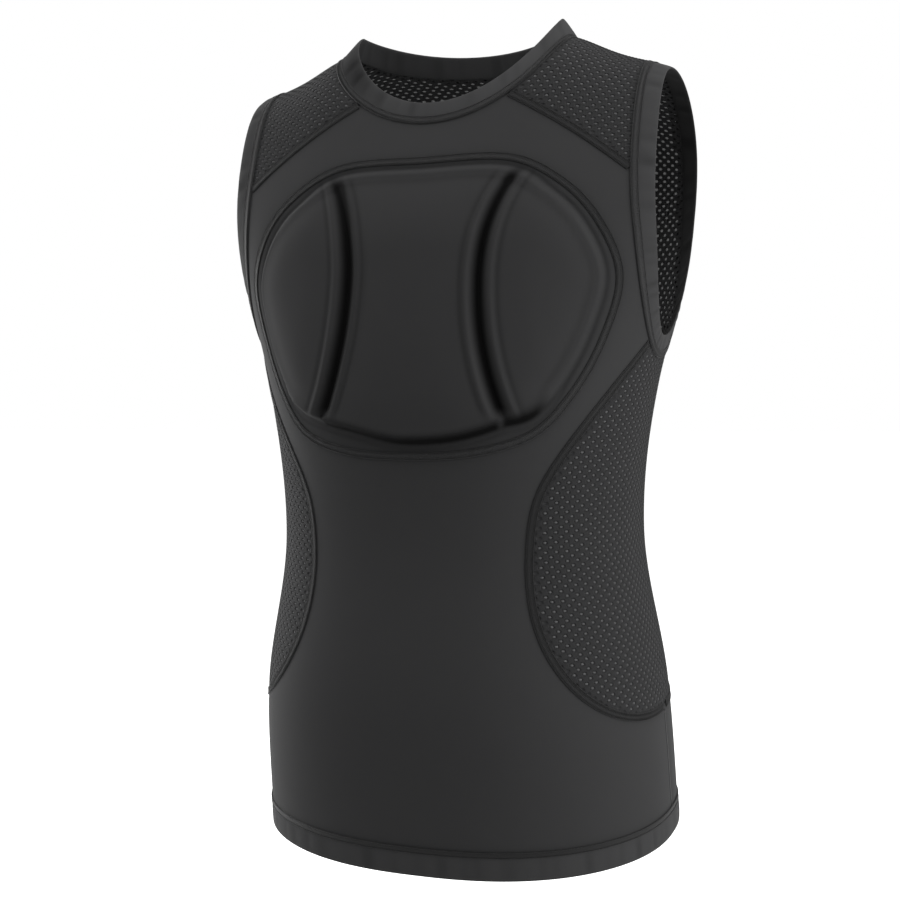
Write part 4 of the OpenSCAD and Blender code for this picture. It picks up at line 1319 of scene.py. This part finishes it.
class SHIRT_OT_bands(bpy.types.Operator):
    """Folds the neck band, the armhole bindings and the hem"""

    bl_idname = "shirt.bands"
    bl_label = "Bands"

    def execute(self, context):
        p = Pattern(context.scene)
        s = p.sizes
        knit = cloth_material(
            "Doubled band", context.scene.shirt_colours.band, wale=0.0011, bump=0.15
        )
        section = band_section(s.binding, s.band, s.cloth)
        rings = [(p.arm_line(away, BINDING_STEPS)[:-1], away, off) for away, off in section]
        puckers = wavy(len(rings[0][0]), *ARM_PUCKERS)
        rows = [p.above(ring, off + puckers * arched(away, s.binding)) for ring, away, off in rings]
        band = Band(section, s.binding, puckers, rows, knit)
        for word, flip in SIDES:
            # painted shade on the wearer's right binding only
            shade = RIGHT_BINDING_DARK * flip
            band.finish(f"armhole_binding_{word}", "binding", ARM_INNER_DARK, shade, flip)

        section = band_section(s.hem, s.band, s.cloth)
        angles = p.hem_ring[:-1, 0]
        puckers = wavy(len(angles), *HEM_PUCKERS)
        rows = [
            p.above(
                np.stack([angles, np.full(len(angles), away)], -1),
                off + puckers * arched(away, s.hem),
            )
            for away, off in section
        ]
        Band(section, s.hem, puckers, rows, knit).finish("hem_band", "knit", HEM_INNER_DARK)

        base, edge = p.point(p.neck_ring)[:-1], p.neck_edge()[:-1]
        run = np.roll(base, -1, 0) - np.roll(base, 1, 0)
        lean = unit(np.cross(run, edge - base))
        width = float(np.linalg.norm(edge - base, axis=1).mean())
        section = band_section(s.neck_band, s.band, s.cloth)
        puckers = wavy(len(base), *NECK_PUCKERS)
        rows = [
            base
            + (edge - base) * (1 - away / s.neck_band)
            + lean * (off + puckers[:, None] * arched(away, s.neck_band))
            for away, off in section
        ]
        # painted shade on the neck band's outside, near the wearer's right shoulder
        shade = NECK_SHADE * bell(p.ring_angles[:-1][::-1], SHADE_AT, SHADE_SPAN)
        band = Band(section, width, puckers, rows, knit)
        band.finish("neck_band", "binding", NECK_INNER_DARK, shade)
        return {"FINISHED"}


# ---- the chest pad ----


def eased(n_edge, n_middle, edge):
    """Shares from 0 to 1, closer together within an edge's share of both ends"""
    first = np.linspace(0, edge, n_edge + 1)[:-1]
    middle = np.linspace(edge, 1 - edge, n_middle + 1)
    return np.concatenate([first, middle, 1 - first[::-1]])


def coons(bottom, top, left, right, us, vs):
    """Patch between four lines in the elevation, at shares across and up"""
    u, v = us[None, :, None], vs[:, None, None]
    low = left[0] * (1 - u) + right[0] * u
    high = left[-1] * (1 - u) + right[-1] * u
    return (
        bottom[None] * (1 - v)
        + top[None] * v
        + left[:, None] * (1 - u)
        + right[:, None] * u
        - (low * (1 - v) + high * v)
    )


class Pad:
    """The cover's grids and its relief. Where two numbers stand in brackets, they are the start
    and the span of a smooth change; a negative span goes down or inwards."""

    # corners of the three columns, counted in knots along the outline
    groove_top, corner_top, corner_low, groove_low = 1.25, 2.2, 6.45, 7.3
    # points near the ends, points between them, and the ends' share of the length
    side_steps, middle_steps, up_steps = (26, 14, 0.24), (20, 16, 0.2), (30, 40, 0.13)

    right_groove_in = 0.0024  # how much nearer to the middle the wearer's right groove lies
    groove_low_end, groove_high_end = (0.336, 0.014), (0.528, -0.013)  # heights
    groove_depth, valley_power = 0.68, 1.7  # share of the foam that it takes, and its roundness

    # below the widest place the foam stands steeply over a shelf, and its edge bows down
    shelf = (-0.076, -0.02)
    shelf_rim, shelf_foot = 0.0022, 0.0025  # how much narrower the rim is, and how far in its foot
    right_bow, right_inner, right_outer = 0.0068, (0, 0.052), (0.112, -0.042)
    left_bow, left_inner, left_outer = 0.0045, 0.07, (0.098, -0.028)
    top_rim, top_part = 0.0024, (0.06, 0.02)  # narrower rim above the widest place
    bevel_share, shelf_bevel = 0.6, 0.15
    steep_share, shelf_steep = 0.45, 0.55  # share of the height that the bevel climbs
    swell = 0.025  # length over which the rest swells up
    top_thin, top_thin_part = 0.55, (0.02, 0.06)  # the foam is thinner above the widest place
    side_thin, side_from, side_span = 0.35, 0.058, 0.075  # and towards the sides
    crown, crown_rim, crown_groove = 0.0012, (0, 0.03), (0.01, 0.03)

    # height, place and width of the small rolls and hollows of the cover
    bead, bead_at, bead_width = 0.0007, 0.0005, 0.0016  # past the bevel
    foot, foot_width = 0.0006, 0.0018  # at the bevel's foot
    roll, roll_width = 0.0006, 0.0024  # on a groove's shoulder
    hollow, hollow_at, hollow_width = 0.0004, 0.0045, 0.0022  # past the shoulder

    # painted shade in the folds and the grooves, with its place and width
    foot_dark, foot_dark_width = 0.32, 0.002
    bevel_dark, bevel_dark_at, bevel_dark_width = 0.2, 0.0052, 0.0022
    hollow_dark = 0.25
    groove_dark_reach, right_dark_reach, groove_dark_span = 0.008, 0.0112, 0.0072
    # painted shadow under the cushions' lower edge: its reach from the rim, its ends across, and a
    # gap in it
    tuck_low, tuck_high, tuck_power = (0.0092, 0.0038), (0.0225, -0.009), 1.6  # from the rim
    tuck_left, tuck_right = (0.106, -0.014), (-0.0725, 0.0025)
    tuck_gap, tuck_gap_at, tuck_gap_width = 0.7, 0.0705, 0.0024

    def __init__(self, pattern):
        self.p = p = pattern
        side, middle, up = (eased(*n) for n in (self.side_steps, self.middle_steps, self.up_steps))

        def edge(start, end, shares):
            return p.pad_edge(start + (end - start) * shares)

        low = edge(self.corner_low, self.groove_low, side)
        top = edge(self.corner_top, self.groove_top, side)
        outer = edge(self.corner_low, self.corner_top, up)
        z = low[-1, 1] + (top[-1, 1] - low[-1, 1]) * up
        miss_low, miss_top = (end[0] - p.groove_x(end[1]) for end in (low[-1], top[-1]))
        groove = np.stack([p.groove_x(z) + miss_low * (1 - up) + miss_top * up, z], -1)
        left = coons(low[::-1], top[::-1], groove, outer, 1 - side[::-1], up)
        right = left[:, ::-1] * [-1, 1]

        def across(middle_knot, end_knot):
            q = edge(middle_knot, end_knot, np.abs(2 * middle - 1))
            return q * np.stack([np.where(middle < 0.5, -1, 1), np.ones(len(middle))], -1)

        bottom = across(len(p.knots) - 1, self.groove_low)
        centre = coons(
            bottom, across(0, self.groove_top), groove * [-1, 1], groove, middle, up
        )
        self.columns = {"right": right, "centre": centre, "left": left}
        self.grid = np.concatenate([right[:, :-1], centre[:, :-1], left], 1)
        self.outline = p.pad_outline(PAD_STEPS)[:-1]
        self.fold = groove

    def groove(self, x, z):
        """Distance outward from the nearer groove, and how deep it is there, from 0 to 1"""
        fold = np.interp(z, self.fold[:, 1], self.fold[:, 0])
        away = np.abs(x) - fold + self.right_groove_in * (x < 0)
        return away, ramp(z, *self.groove_low_end) * ramp(z, *self.groove_high_end)

    def bow(self, x):
        """How far the foam's lower edge bows down"""
        reach = np.abs(x)
        right = self.right_bow * ramp(reach, *self.right_inner) * ramp(reach, *self.right_outer)
        inner = np.clip(reach / self.left_inner, 0, 1) ** 2
        return np.where(x < 0, right, self.left_bow * inner * ramp(reach, *self.left_outer))

    def relief(self, grid, rim):
        """Height of the cover above the cloth, and its painted shade: in its folds and grooves, and
        under the cushions
        """
        s = self.p.pad
        x, z = grid[..., 0], grid[..., 1]
        above = z - s.wide_height
        under = ramp(above, *self.shelf)
        rim = rim + under * (self.shelf_rim - self.bow(x))
        rim += self.top_rim * ramp(above, *self.top_part)
        bevel = s.bevel * (self.bevel_share + self.shelf_bevel * under)
        past = rim - s.rim - bevel
        foot_at = s.rim + self.shelf_foot * under

        steep = self.steep_share + self.shelf_steep * under
        swell = np.sin(np.clip((rim - s.rim) / self.swell, 0, 1) * math.pi / 2)
        lift = steep * ramp(rim, foot_at, bevel) + (1 - steep) * swell
        thick = s.height * (1 - self.top_thin * ramp(above, *self.top_thin_part))
        side = np.clip((np.abs(x) - self.side_from) / self.side_span, 0, 1)
        thick *= 1 - self.side_thin * side * (1 - under)

        across, deep = self.groove(x, z)
        away = np.abs(across)
        shoulder = away - s.groove_shoulder
        wall = np.clip((away - s.groove_floor) / (s.groove_shoulder - s.groove_floor), 0, 1)
        valley = self.groove_depth * deep * (1 - wall) ** self.valley_power
        rolls = self.bead * bell(past, self.bead_at, self.bead_width) * (1 - under)
        rolls += self.roll * bell(shoulder, 0, self.roll_width) * deep
        in_hollow = bell(shoulder, self.hollow_at, self.hollow_width) * deep
        rolls -= self.hollow * in_hollow
        crown = self.crown * ramp(past, *self.crown_rim) * ramp(away, *self.crown_groove)
        foot = self.foot * bell(rim, s.rim, self.foot_width)
        height = thick * lift * (1 - valley) + rolls * lift + crown - foot

        # painted shade at the bevel's foot, in the grooves, past the bevel and in the hollows
        inner_right = (x < 0) & (across < 0)
        reach = np.where(inner_right, self.right_dark_reach, self.groove_dark_reach)
        crease = self.foot_dark * bell(rim, foot_at, self.foot_dark_width)
        crease += deep * ramp(away, reach, -self.groove_dark_span)
        past_bevel = bell(past, self.bevel_dark_at, self.bevel_dark_width)
        crease += self.bevel_dark * (1 - under) * past_bevel + self.hollow_dark * in_hollow
        # painted shadow under the cushions' lower edge
        tuck = ramp(rim, *self.tuck_low) * ramp(rim, *self.tuck_high) ** self.tuck_power
        tuck *= under * ramp(x, *self.tuck_left) * ramp(x, *self.tuck_right)
        tuck *= 1 - self.tuck_gap * bell(x, self.tuck_gap_at, self.tuck_gap_width)
        return height, np.clip(crease + tuck, 0, 1)


COVER_UNDERSIDE = 0.0001  # height of the cover's underside over the foam and the cloth
LINING = -0.0003, -0.0011  # heights of the lining's two sides
FOAM_IN = 0.0012  # how far the foam stands inside the rim and the grooves
FOAM_BELOW, FOAM_LEAST = 0.0006, 0.0005  # how far it lies below the cover, and its least height
FOAM_ROW = 0.3  # share of a row that has to be clear for the foam to reach it


def pad_layer(p, name, grid, high, low, material, crease=None):
    """A closed layer of the pad between two heights above the trunk; gives its flat cloth too"""
    places = p.place(grid[..., 0], grid[..., 1]).reshape(-1, 2)
    base, outward = p.point(places), p.outward(places)
    faces = quads(*grid.shape[:2], False, False)
    points, all_faces = walled(base + high * outward, base + low * outward, faces)
    cloth = grid.reshape(-1, 2)
    uv = np.concatenate([cloth, cloth])
    return build(name, points, all_faces.tolist(), [material], uv, crease), cloth, faces


class SHIRT_OT_chest_pad(bpy.types.Operator):
    """Moulds the quilted cover over its three cushions, with the foam and the lining behind"""

    bl_idname = "shirt.chest_pad"
    bl_label = "Chest Pad"

    def execute(self, context):
        p = Pattern(context.scene)
        colours = context.scene.shirt_colours
        pad = Pad(p)
        # fold=0.96: the pad's painted shade darkens its knit strongly
        knit = cloth_material("Pad knit", colours.pad, rough=0.85, sheen=0.0, bump=0.1, fold=0.96)
        foam = cloth_material("Foam", colours.foam, rough=0.95, sheen=0, wale=0.0006, bump=0.4)
        lining = cloth_material("Smooth knit", colours.knit)
        height, crease = pad.relief(pad.grid, rim_distance(pad.grid, pad.outline))
        lift = height.reshape(-1, 1)
        high, low = lift + p.sizes.cloth, lift + COVER_UNDERSIDE
        # painted shade on the cover's outside, none on its underside
        crease = np.concatenate([crease.ravel(), np.zeros(crease.size)])
        cover = pad_layer(p, "Pad_cover", pad.grid, high, low, knit, crease)[0]
        piece(cover, "pad_cover")
        for word, grid in pad.columns.items():
            self.cushion(p, pad, word, grid, foam)
        obj, cloth, faces = pad_layer(p, "Pad_lining", pad.grid[::3, ::3], *LINING, lining)
        piece(obj, "pad_lining", cut_size(cloth, faces))
        return {"FINISHED"}

    def cushion(self, p, pad, word, grid, material):
        """One foam cushion: the cells of its column that stand clear of the rim and the grooves"""
        rim = rim_distance(grid, pad.outline)
        away = np.abs(pad.groove(grid[..., 0], grid[..., 1])[0])
        clear = (rim > p.pad.rim + FOAM_IN) & (away > p.pad.groove_floor + FOAM_IN)
        rows, columns = (np.flatnonzero(clear.mean(axis) > FOAM_ROW) for axis in (1, 0))
        part = slice(rows[0], rows[-1] + 1, 2), slice(columns[0], columns[-1] + 1, 2)
        height = np.maximum(pad.relief(grid[part], rim[part])[0] - FOAM_BELOW, FOAM_LEAST)
        high = height.reshape(-1, 1)
        obj = pad_layer(p, f"Foam_{word}", grid[part], high, COVER_UNDERSIDE, material)[0]
        piece(obj, f"foam_{word}")


# ---- flat seams ----


BED_STEP, LEAST_STEPS = 0.003, 8
BED = np.array([-0.5, -0.44, -0.36, -0.2, 0, 0.2, 0.36, 0.44, 0.5])  # places across its width
BED_LIFT = np.array([-0.4, -0.1, 0.12, 0.2, 0.22, 0.2, 0.12, -0.1, -0.4]) * MM
BED_UNDER, UNDER_DROP = np.array([0.5, 0, -0.5]), 0.6 * MM
ROW_SHARE = 0.8  # shade of the bed beside its edges, as a share of theirs
LOOP_PITCH, LOOP_REACH, LOOP_POWER, LOOP_RADIUS = 0.0024, 0.4, 0.8, 0.22 * MM
LOOP_LIFT, LOOP_WAVE = 0.28, 0.12  # millimetres above the seam
NEEDLE_PITCH, NEEDLE_RADIUS = 0.0028, 0.27 * MM
NEEDLE_LIFT, NEEDLE_WAVE = 0.02, 0.34  # millimetres above the seam
NEEDLES = (-0.42, 0.42)  # places of the needle rows across the width
NEEDLE_DARK, NEEDLE_PALE = 1.1, 0.25  # shade of a stitch's ends, and how much paler its middle is
TURN_STEPS = 8  # points to a stitch
CORD_SIDES = 5


class Track:
    """A line on the cloth that a seam runs along: its points, and the ways across and off it"""

    def __init__(self, points, outward, below=None, above=None, closed=False):
        self.closed = closed
        if closed:
            run = np.roll(points, -1, 0) - np.roll(points, 1, 0)
        else:
            run = np.gradient(points, axis=0)
        side = unit(np.cross(outward, run))
        self.values = {
            "point": points,
            "out": outward,
            "below": -side if below is None else below,
            "above": side if above is None else above,
        }
        if closed:
            for key, value in self.values.items():
                self.values[key] = np.concatenate([value, value[:1]])
        self.at = run_lengths(self.values["point"])
        self.length = self.at[-1]

    def sample(self, key, s):
        """Values of one kind at distances along the seam"""
        v = self.values[key]
        return np.stack([np.interp(s, self.at, v[:, k]) for k in range(3)], -1)

    def spot(self, s, across, up):
        """Points at a distance along the seam, to its left, and off the cloth"""
        s, across, up = (np.asarray(v, float) for v in np.broadcast_arrays(s, across, up))
        side = np.where((across < 0)[..., None], -self.sample("below", s), self.sample("above", s))
        out = unit(self.sample("out", s))
        return self.sample("point", s) + across[..., None] * side + up[..., None] * out

    def turns(self, pitch):
        """Places of a stitch's points: in stitches, and in metres along the seam"""
        count = max(2, round(self.length / pitch))
        t = np.arange(count * TURN_STEPS) / TURN_STEPS
        return t, t / count * self.length


def capped(faces, rows, sides, closed):
    """Faces of a swept ring, with an end on each side unless it is closed"""
    faces = faces.tolist()
    if not closed:
        last = sides * (rows - 1)
        faces += [list(range(sides)), list(range(last + sides - 1, last - 1, -1))]
    return faces


def cord(points, radius, out, closed):
    """Thread swept along points; returns its points and faces"""
    run = np.roll(points, -1, 0) - np.roll(points, 1, 0) if closed else np.gradient(points, axis=0)
    run = unit(run)
    u = unit(out - (out * run).sum(1, keepdims=True) * run)
    v = np.cross(run, u)
    a = np.linspace(0, 2 * np.pi, CORD_SIDES, endpoint=False)[None, :, None]
    ring = points[:, None] + radius * (np.cos(a) * u[:, None] + np.sin(a) * v[:, None])
    flat, faces = loft(ring, closed)
    return flat, capped(faces, len(points), CORD_SIDES, closed)


class Seam:
    """A flat seam, built up from its parts. depth is the painted shade of the bed between the rows
    of stitches, and edge the painted shade along them."""

    def __init__(self, track, rise, width, depth, edge):
        self.track, self.rise, self.width = track, rise, width
        self.depth, self.edge = depth, edge
        self.points, self.faces, self.grain, self.crease = [], [], [], []
        self.count = 0

    def add(self, points, faces, grain, crease):
        """Adds a closed part, with its cloth coordinates and its painted shade"""
        self.points.append(points)
        self.faces.extend([[i + self.count for i in face] for face in faces])
        self.grain.append(grain)
        self.crease.append(crease)
        self.count += len(points)

    def add_bed(self):
        """The raised strip that the stitches lie on"""
        track, closed = self.track, self.track.closed
        steps = max(LEAST_STEPS, int(track.length / BED_STEP))
        s = np.linspace(0, track.length, steps + 1)
        s = s[:-1] if closed else s
        across = np.concatenate([BED, BED_UNDER]) * self.width
        under = np.full(len(BED_UNDER), self.rise - UNDER_DROP)
        height = np.concatenate([self.rise + BED_LIFT, under])
        rows = [track.spot(s, a, h) for a, h in zip(across, height)]
        points, faces = loft(np.stack(rows, 1), closed)
        faces = capped(faces, len(s), len(across), closed)
        grain = np.stack(np.broadcast_arrays(s[:, None], across[None]), -1).reshape(-1, 2)
        # painted shade across the bed: beside its edges, between its rows, and all over its hidden
        # underside
        side = [self.edge, self.edge, ROW_SHARE * self.edge]
        fold = [*side, *[self.depth] * 3, *side[::-1], *np.ones(len(BED_UNDER))]
        self.add(points, faces, grain, np.tile(fold, len(s)))

    def add_thread(self, at, across, up, radius, shade):
        """Sweeps a thread through places of the seam; shade is the painted shade of each place"""
        out = unit(self.track.sample("out", at))
        path = self.track.spot(at, across, up)
        points, faces = cord(path, radius, out, self.track.closed)
        grain = np.repeat(np.stack([at, across], -1), CORD_SIDES, 0)
        self.add(points, faces, grain, np.repeat(shade, CORD_SIDES))

    def add_loops(self):
        """Two threads that cross the seam to and fro"""
        t, at = self.track.turns(LOOP_PITCH)
        for phase in (0.0, 0.5):
            wave = 2 * np.abs(2 * ((t + phase) % 1) - 1) - 1
            across = np.sign(wave) * np.abs(wave) ** LOOP_POWER * LOOP_REACH * self.width
            up = (LOOP_LIFT + LOOP_WAVE * np.cos(2 * np.pi * (t + phase) * 2)) * MM
            # painted shade of the loops, as dark as the bed between the rows
            shade = np.full(len(t), self.depth)
            self.add_thread(at, across, self.rise + up, LOOP_RADIUS, shade)

    def add_needle_row(self, place):
        """A row of straight stitches, each a low hump"""
        t, at = self.track.turns(NEEDLE_PITCH)
        hump = np.abs(np.sin(np.pi * t))
        up = (NEEDLE_LIFT + NEEDLE_WAVE * np.sqrt(hump)) * MM
        # painted shade: darkest at a stitch's ends, where it sinks into the cloth, paler on its
        # raised middle
        shade = NEEDLE_DARK * self.edge - NEEDLE_PALE * self.edge * hump
        across = np.full(len(t), place * self.width)
        self.add_thread(at, across, self.rise + up, NEEDLE_RADIUS, shade)

    def finish(self, name, node, material, fade=None, flip=False):
        """Makes the piece; fade is (heights, shares) by which its painted shade thins out"""
        points, crease = np.concatenate(self.points), np.concatenate(self.crease)
        if fade:
            crease = crease * np.interp(points[:, 2], *fade)
        if flip:
            points = points * [-1, 1, 1]
            self.faces = [face[::-1] for face in self.faces]
        obj = build(name, points, self.faces, [material], np.concatenate(self.grain), crease)
        return piece(obj, node)


THREAD_GAP = 0.0002  # how far a seam's level lies above its cloth
SEAM_TRIM = 0.0045  # how far a seam ends before its neighbour
# the painted shade of the pad's seam thins out below
PAD_FADE = (0.325, 0.41), (0.2, 1.0)  # the pad's seam is paler below, where it bends down
LOW_SEAM_WIDTH, LOW_SEAM_DROP = 0.0026, 0.0001
HEM_ROWS_WIDTH = 0.0048
# painted shade of each seam's bed between its rows of stitches, and along them
SHADES = {
    "pad": (0.5, 0.85),
    "back_yoke": (0.5, 0.58),
    "panel": (0.66, 0.64),
    "side_low": (0.0, 0.2),
    "armhole": (0.03, 0.14),
    "neck": (0.45, 0.5),
    "hem": (0.72, 0.7),
}


class SHIRT_OT_seams(bpy.types.Operator):
    """Sews a flat seam over every join, and the double row along the hem"""

    bl_idname = "shirt.seams"
    bl_label = "Seams"

    def execute(self, context):
        p = Pattern(context.scene)
        s = p.sizes
        thread = thread_material("Seam thread", context.scene.shirt_colours.thread)
        single = s.cloth + THREAD_GAP
        between = s.cloth + (s.band - s.cloth) / 2  # level where a band meets a single cloth
        doubled = between + THREAD_GAP

        def sew(part, track, rise, kind, **more):
            seam = Seam(track, rise, s.seam_width, *SHADES[kind])
            seam.add_bed()
            seam.add_loops()
            for place in NEEDLES:
                seam.add_needle_row(place)
            seam.finish(f"Seam_{part}", f"flatlock_{part}", thread, **more)

        outline = p.place(*p.pad_outline(PAD_STEPS).T)
        sew("pad", self.track(p, outline, True), single, "pad", fade=PAD_FADE)
        sew("back_yoke", self.track(p, p.yoke_back), single, "back_yoke")
        for word, flip in SIDES:
            for part, curve in (
                ("yoke", p.yoke_front),
                ("shoulder", p.shoulder_line(1)),
                ("side_front", p.side_front),
                ("side_back", p.side_back),
            ):
                sew(f"{part}_{word}", self.track(p, curve), single, "panel", flip=flip)
            low = self.track(p, p.side_bottom)
            seam = Seam(low, s.cloth - LOW_SEAM_DROP, LOW_SEAM_WIDTH, *SHADES["side_low"])
            seam.add_bed()
            name = f"side_low_{word}"
            seam.finish(f"Seam_{name}", f"flatlock_{name}", thread, flip=flip)
            ring = self.track(p, p.arm_line(s.binding), True)
            sew(f"armhole_{word}", ring, doubled, "armhole", flip=flip)

        base, edge = p.point(p.neck_ring)[:-1], p.neck_edge()[:-1]
        run = np.roll(base, -1, 0) - np.roll(base, 1, 0)
        up = unit(edge - base)
        off_band = unit(np.cross(run, up))
        off_cloth = p.outward(p.neck_ring[:-1])
        skirt = unit(np.cross(run, off_cloth))
        neck = Track(base, unit(off_band + off_cloth), below=skirt, above=up, closed=True)
        sew("neck", neck, between, "neck")

        hem = Seam(self.track(p, p.hem_ring, True), between, HEM_ROWS_WIDTH, *SHADES["hem"])
        hem.add_bed()
        for place in NEEDLES:
            hem.add_needle_row(place)
        hem.finish("Hem_stitches", "coverstitch_hem", thread)
        return {"FINISHED"}

    def track(self, p, curve, closed=False):
        """Track along a curve of the pattern; an open one stops short of its neighbours"""
        if closed:
            curve = curve[:-1]
        else:
            at = run_lengths(p.point(curve))
            inner = np.linspace(SEAM_TRIM, at[-1] - SEAM_TRIM, len(curve))
            curve = np.stack([np.interp(inner, at, curve[:, k]) for k in (0, 1)], -1)
        return Track(p.point(curve), p.outward(curve), closed=closed)


# ---- the stage ----


# name, setting that holds the power, place, and width and height of each softbox
SOFTBOXES = (
    ("Softbox_top", "top", (0.1, -0.35, 1.75), (1.4, 1.2)),
    ("Softbox_front", "key", (0.6, -1.8, 0.9), (1.2, 1.2)),
    ("Softbox_left", "left", (1.34, -0.2, 0.5), (0.9, 1.5)),
    ("Softbox_right", "right", (-1.35, 0.08, 0.6), (0.9, 1.5)),
)
FLOOR_HALF = 6  # metres
FLOOR_GLOW = 0.85  # strength of the white that is added for rays that look at the floor
FLOOR_ROUGH = (0.85, 0.1)  # least roughness, and how much the grain adds
SENSOR = 36  # millimetres


def softbox(name, power, location, size, target):
    """An area lamp that looks at a point"""
    lamp = bpy.data.lights.new(name, "AREA")
    lamp.shape = "RECTANGLE"
    lamp.size, lamp.size_y = size
    lamp.energy = power
    obj = bpy.data.objects.new(name, lamp)
    obj.location = location
    obj.rotation_euler = (Vector(target) - Vector(location)).to_track_quat("-Z", "Y").to_euler()
    bpy.context.scene.collection.objects.link(obj)


def looks(t):
    """1 for the rays that look at a surface, straight or through gloss or glass"""
    path = t.node("ShaderNodeLightPath")
    seen = t.math("MAXIMUM", path.outputs["Is Camera Ray"], path.outputs["Is Glossy Ray"])
    return t.math("MAXIMUM", seen, path.outputs["Is Transmission Ray"])


class SHIRT_OT_stage(bpy.types.Operator):
    """Sets the pale floor, the softboxes and the camera"""

    bl_idname = "shirt.stage"
    bl_label = "Stage"

    def execute(self, context):
        scene = context.scene
        studio = scene.shirt_studio
        scene.view_settings.view_transform = "Standard"
        low, high = CAD_BOX
        middle = (0, 0, (low[2] + high[2]) / 2)
        self.room(scene, studio)
        self.floor(scene, low[2] - studio.floor_drop)
        for name, power, location, size in SOFTBOXES:
            softbox(name, getattr(studio, power), location, size, middle)
        self.camera(scene, studio)
        return {"FINISHED"}

    def room(self, scene, studio):
        """Even light on the shirt, and plain white behind it"""
        world = scene.world or bpy.data.worlds.new("Studio")
        scene.world = world
        world.use_nodes = True
        t = Tree(world.node_tree)
        seen = looks(t)
        room = t.node("ShaderNodeBackground", Color=(1, 1, 1, 1), Strength=studio.ambient)
        white = t.node("ShaderNodeBackground", Color=(1, 1, 1, 1), Strength=1.0)
        pick = t.node("ShaderNodeMixShader", Fac=seen)
        t.link(room.outputs[0], pick.inputs[1])
        t.link(white.outputs[0], pick.inputs[2])
        t.link(pick.outputs[0], t.node("ShaderNodeOutputWorld").inputs["Surface"])

    def floor(self, scene, height):
        """A pale floor that keeps the shirt's shadow; rays that look at it see white added"""
        work = bmesh.new()
        bmesh.ops.create_grid(work, x_segments=2, y_segments=2, size=FLOOR_HALF)
        mesh = bpy.data.meshes.new("Floor")
        work.to_mesh(mesh)
        work.free()
        floor = bpy.data.objects.new("Floor", mesh)
        floor.location = (0, 0, height)
        scene.collection.objects.link(floor)
        material = bpy.data.materials.new("Pale floor")
        material.use_nodes = True
        t = Tree(material.node_tree)
        grain = t.node("ShaderNodeTexNoise", Scale=3.0)
        least, more = FLOOR_ROUGH
        rough = t.math("ADD", least, t.math("MULTIPLY", grain.outputs["Fac"], more))
        dye = (*scene.shirt_colours.floor, 1)
        shader = t.node("ShaderNodeBsdfPrincipled", Base_Color=dye, Roughness=rough)
        shader.inputs["Specular IOR Level"].default_value = 0.0
        seen = looks(t)
        glow = t.node("ShaderNodeEmission")
        t.link(t.math("MULTIPLY", seen, FLOOR_GLOW), glow.inputs["Strength"])
        total = t.node("ShaderNodeAddShader")
        t.link(shader.outputs[0], total.inputs[0])
        t.link(glow.outputs[0], total.inputs[1])
        t.link(total.outputs[0], t.node("ShaderNodeOutputMaterial").inputs["Surface"])
        mesh.materials.append(material)

    def camera(self, scene, studio):
        """Looks at the target from an azimuth and an elevation, rolled a little"""
        a, e, r = (math.radians(v) for v in (studio.azimuth, studio.elevation, studio.roll))
        back = Vector((math.sin(a) * math.cos(e), -math.cos(a) * math.cos(e), math.sin(e)))
        right = Vector((math.cos(a), math.sin(a), 0))
        up = back.cross(right)
        turned_right = math.cos(r) * right - math.sin(r) * up
        turned_up = math.sin(r) * right + math.cos(r) * up
        data = bpy.data.cameras.new("Camera")
        data.lens = studio.lens
        data.sensor_width = SENSOR
        camera = bpy.data.objects.new("Camera", data)
        place = Matrix((turned_right, turned_up, back)).transposed().to_4x4()
        place.translation = Vector(studio.target) + back * studio.distance
        camera.matrix_world = place
        scene.collection.objects.link(camera)
        scene.camera = camera


# ---- the add-on ----


class SHIRT_PT_panel(bpy.types.Panel):
    """Lists the shirt's pieces and sizes"""

    bl_idname = "SHIRT_PT_panel"
    bl_label = "Padded Shirt"
    bl_space_type = "VIEW_3D"
    bl_region_type = "UI"
    bl_category = "Shirt"

    def draw(self, context):
        for operator in OPERATORS:
            self.layout.operator(operator.bl_idname)
        for key in GROUPS:
            settings = getattr(context.scene, key)
            box = self.layout.box()
            for name in settings.bl_rna.properties.keys():
                if name not in ("rna_type", "name"):
                    box.prop(settings, name)


GROUPS = {
    "shirt_sizes": ShirtSizes,
    "shirt_pad": PadSizes,
    "shirt_mesh": MeshKnit,
    "shirt_colours": ShirtColours,
    "shirt_studio": StudioSettings,
}
OPERATORS = (
    SHIRT_OT_body_panels,
    SHIRT_OT_mesh_panels,
    SHIRT_OT_bands,
    SHIRT_OT_chest_pad,
    SHIRT_OT_seams,
    SHIRT_OT_stage,
)


def register():
    for cls in (*GROUPS.values(), *OPERATORS, SHIRT_PT_panel):
        bpy.utils.register_class(cls)
    for key, cls in GROUPS.items():
        setattr(bpy.types.Scene, key, PointerProperty(type=cls))


def unregister():
    for key in GROUPS:
        delattr(bpy.types.Scene, key)
    for cls in reversed((*GROUPS.values(), *OPERATORS, SHIRT_PT_panel)):
        bpy.utils.unregister_class(cls)


def main():
    register()
    bpy.ops.shirt.body_panels()
    bpy.ops.shirt.mesh_panels()
    bpy.ops.shirt.bands()
    bpy.ops.shirt.chest_pad()
    bpy.ops.shirt.seams()
    bpy.ops.shirt.stage()


if __name__ == "__main__":
    main()
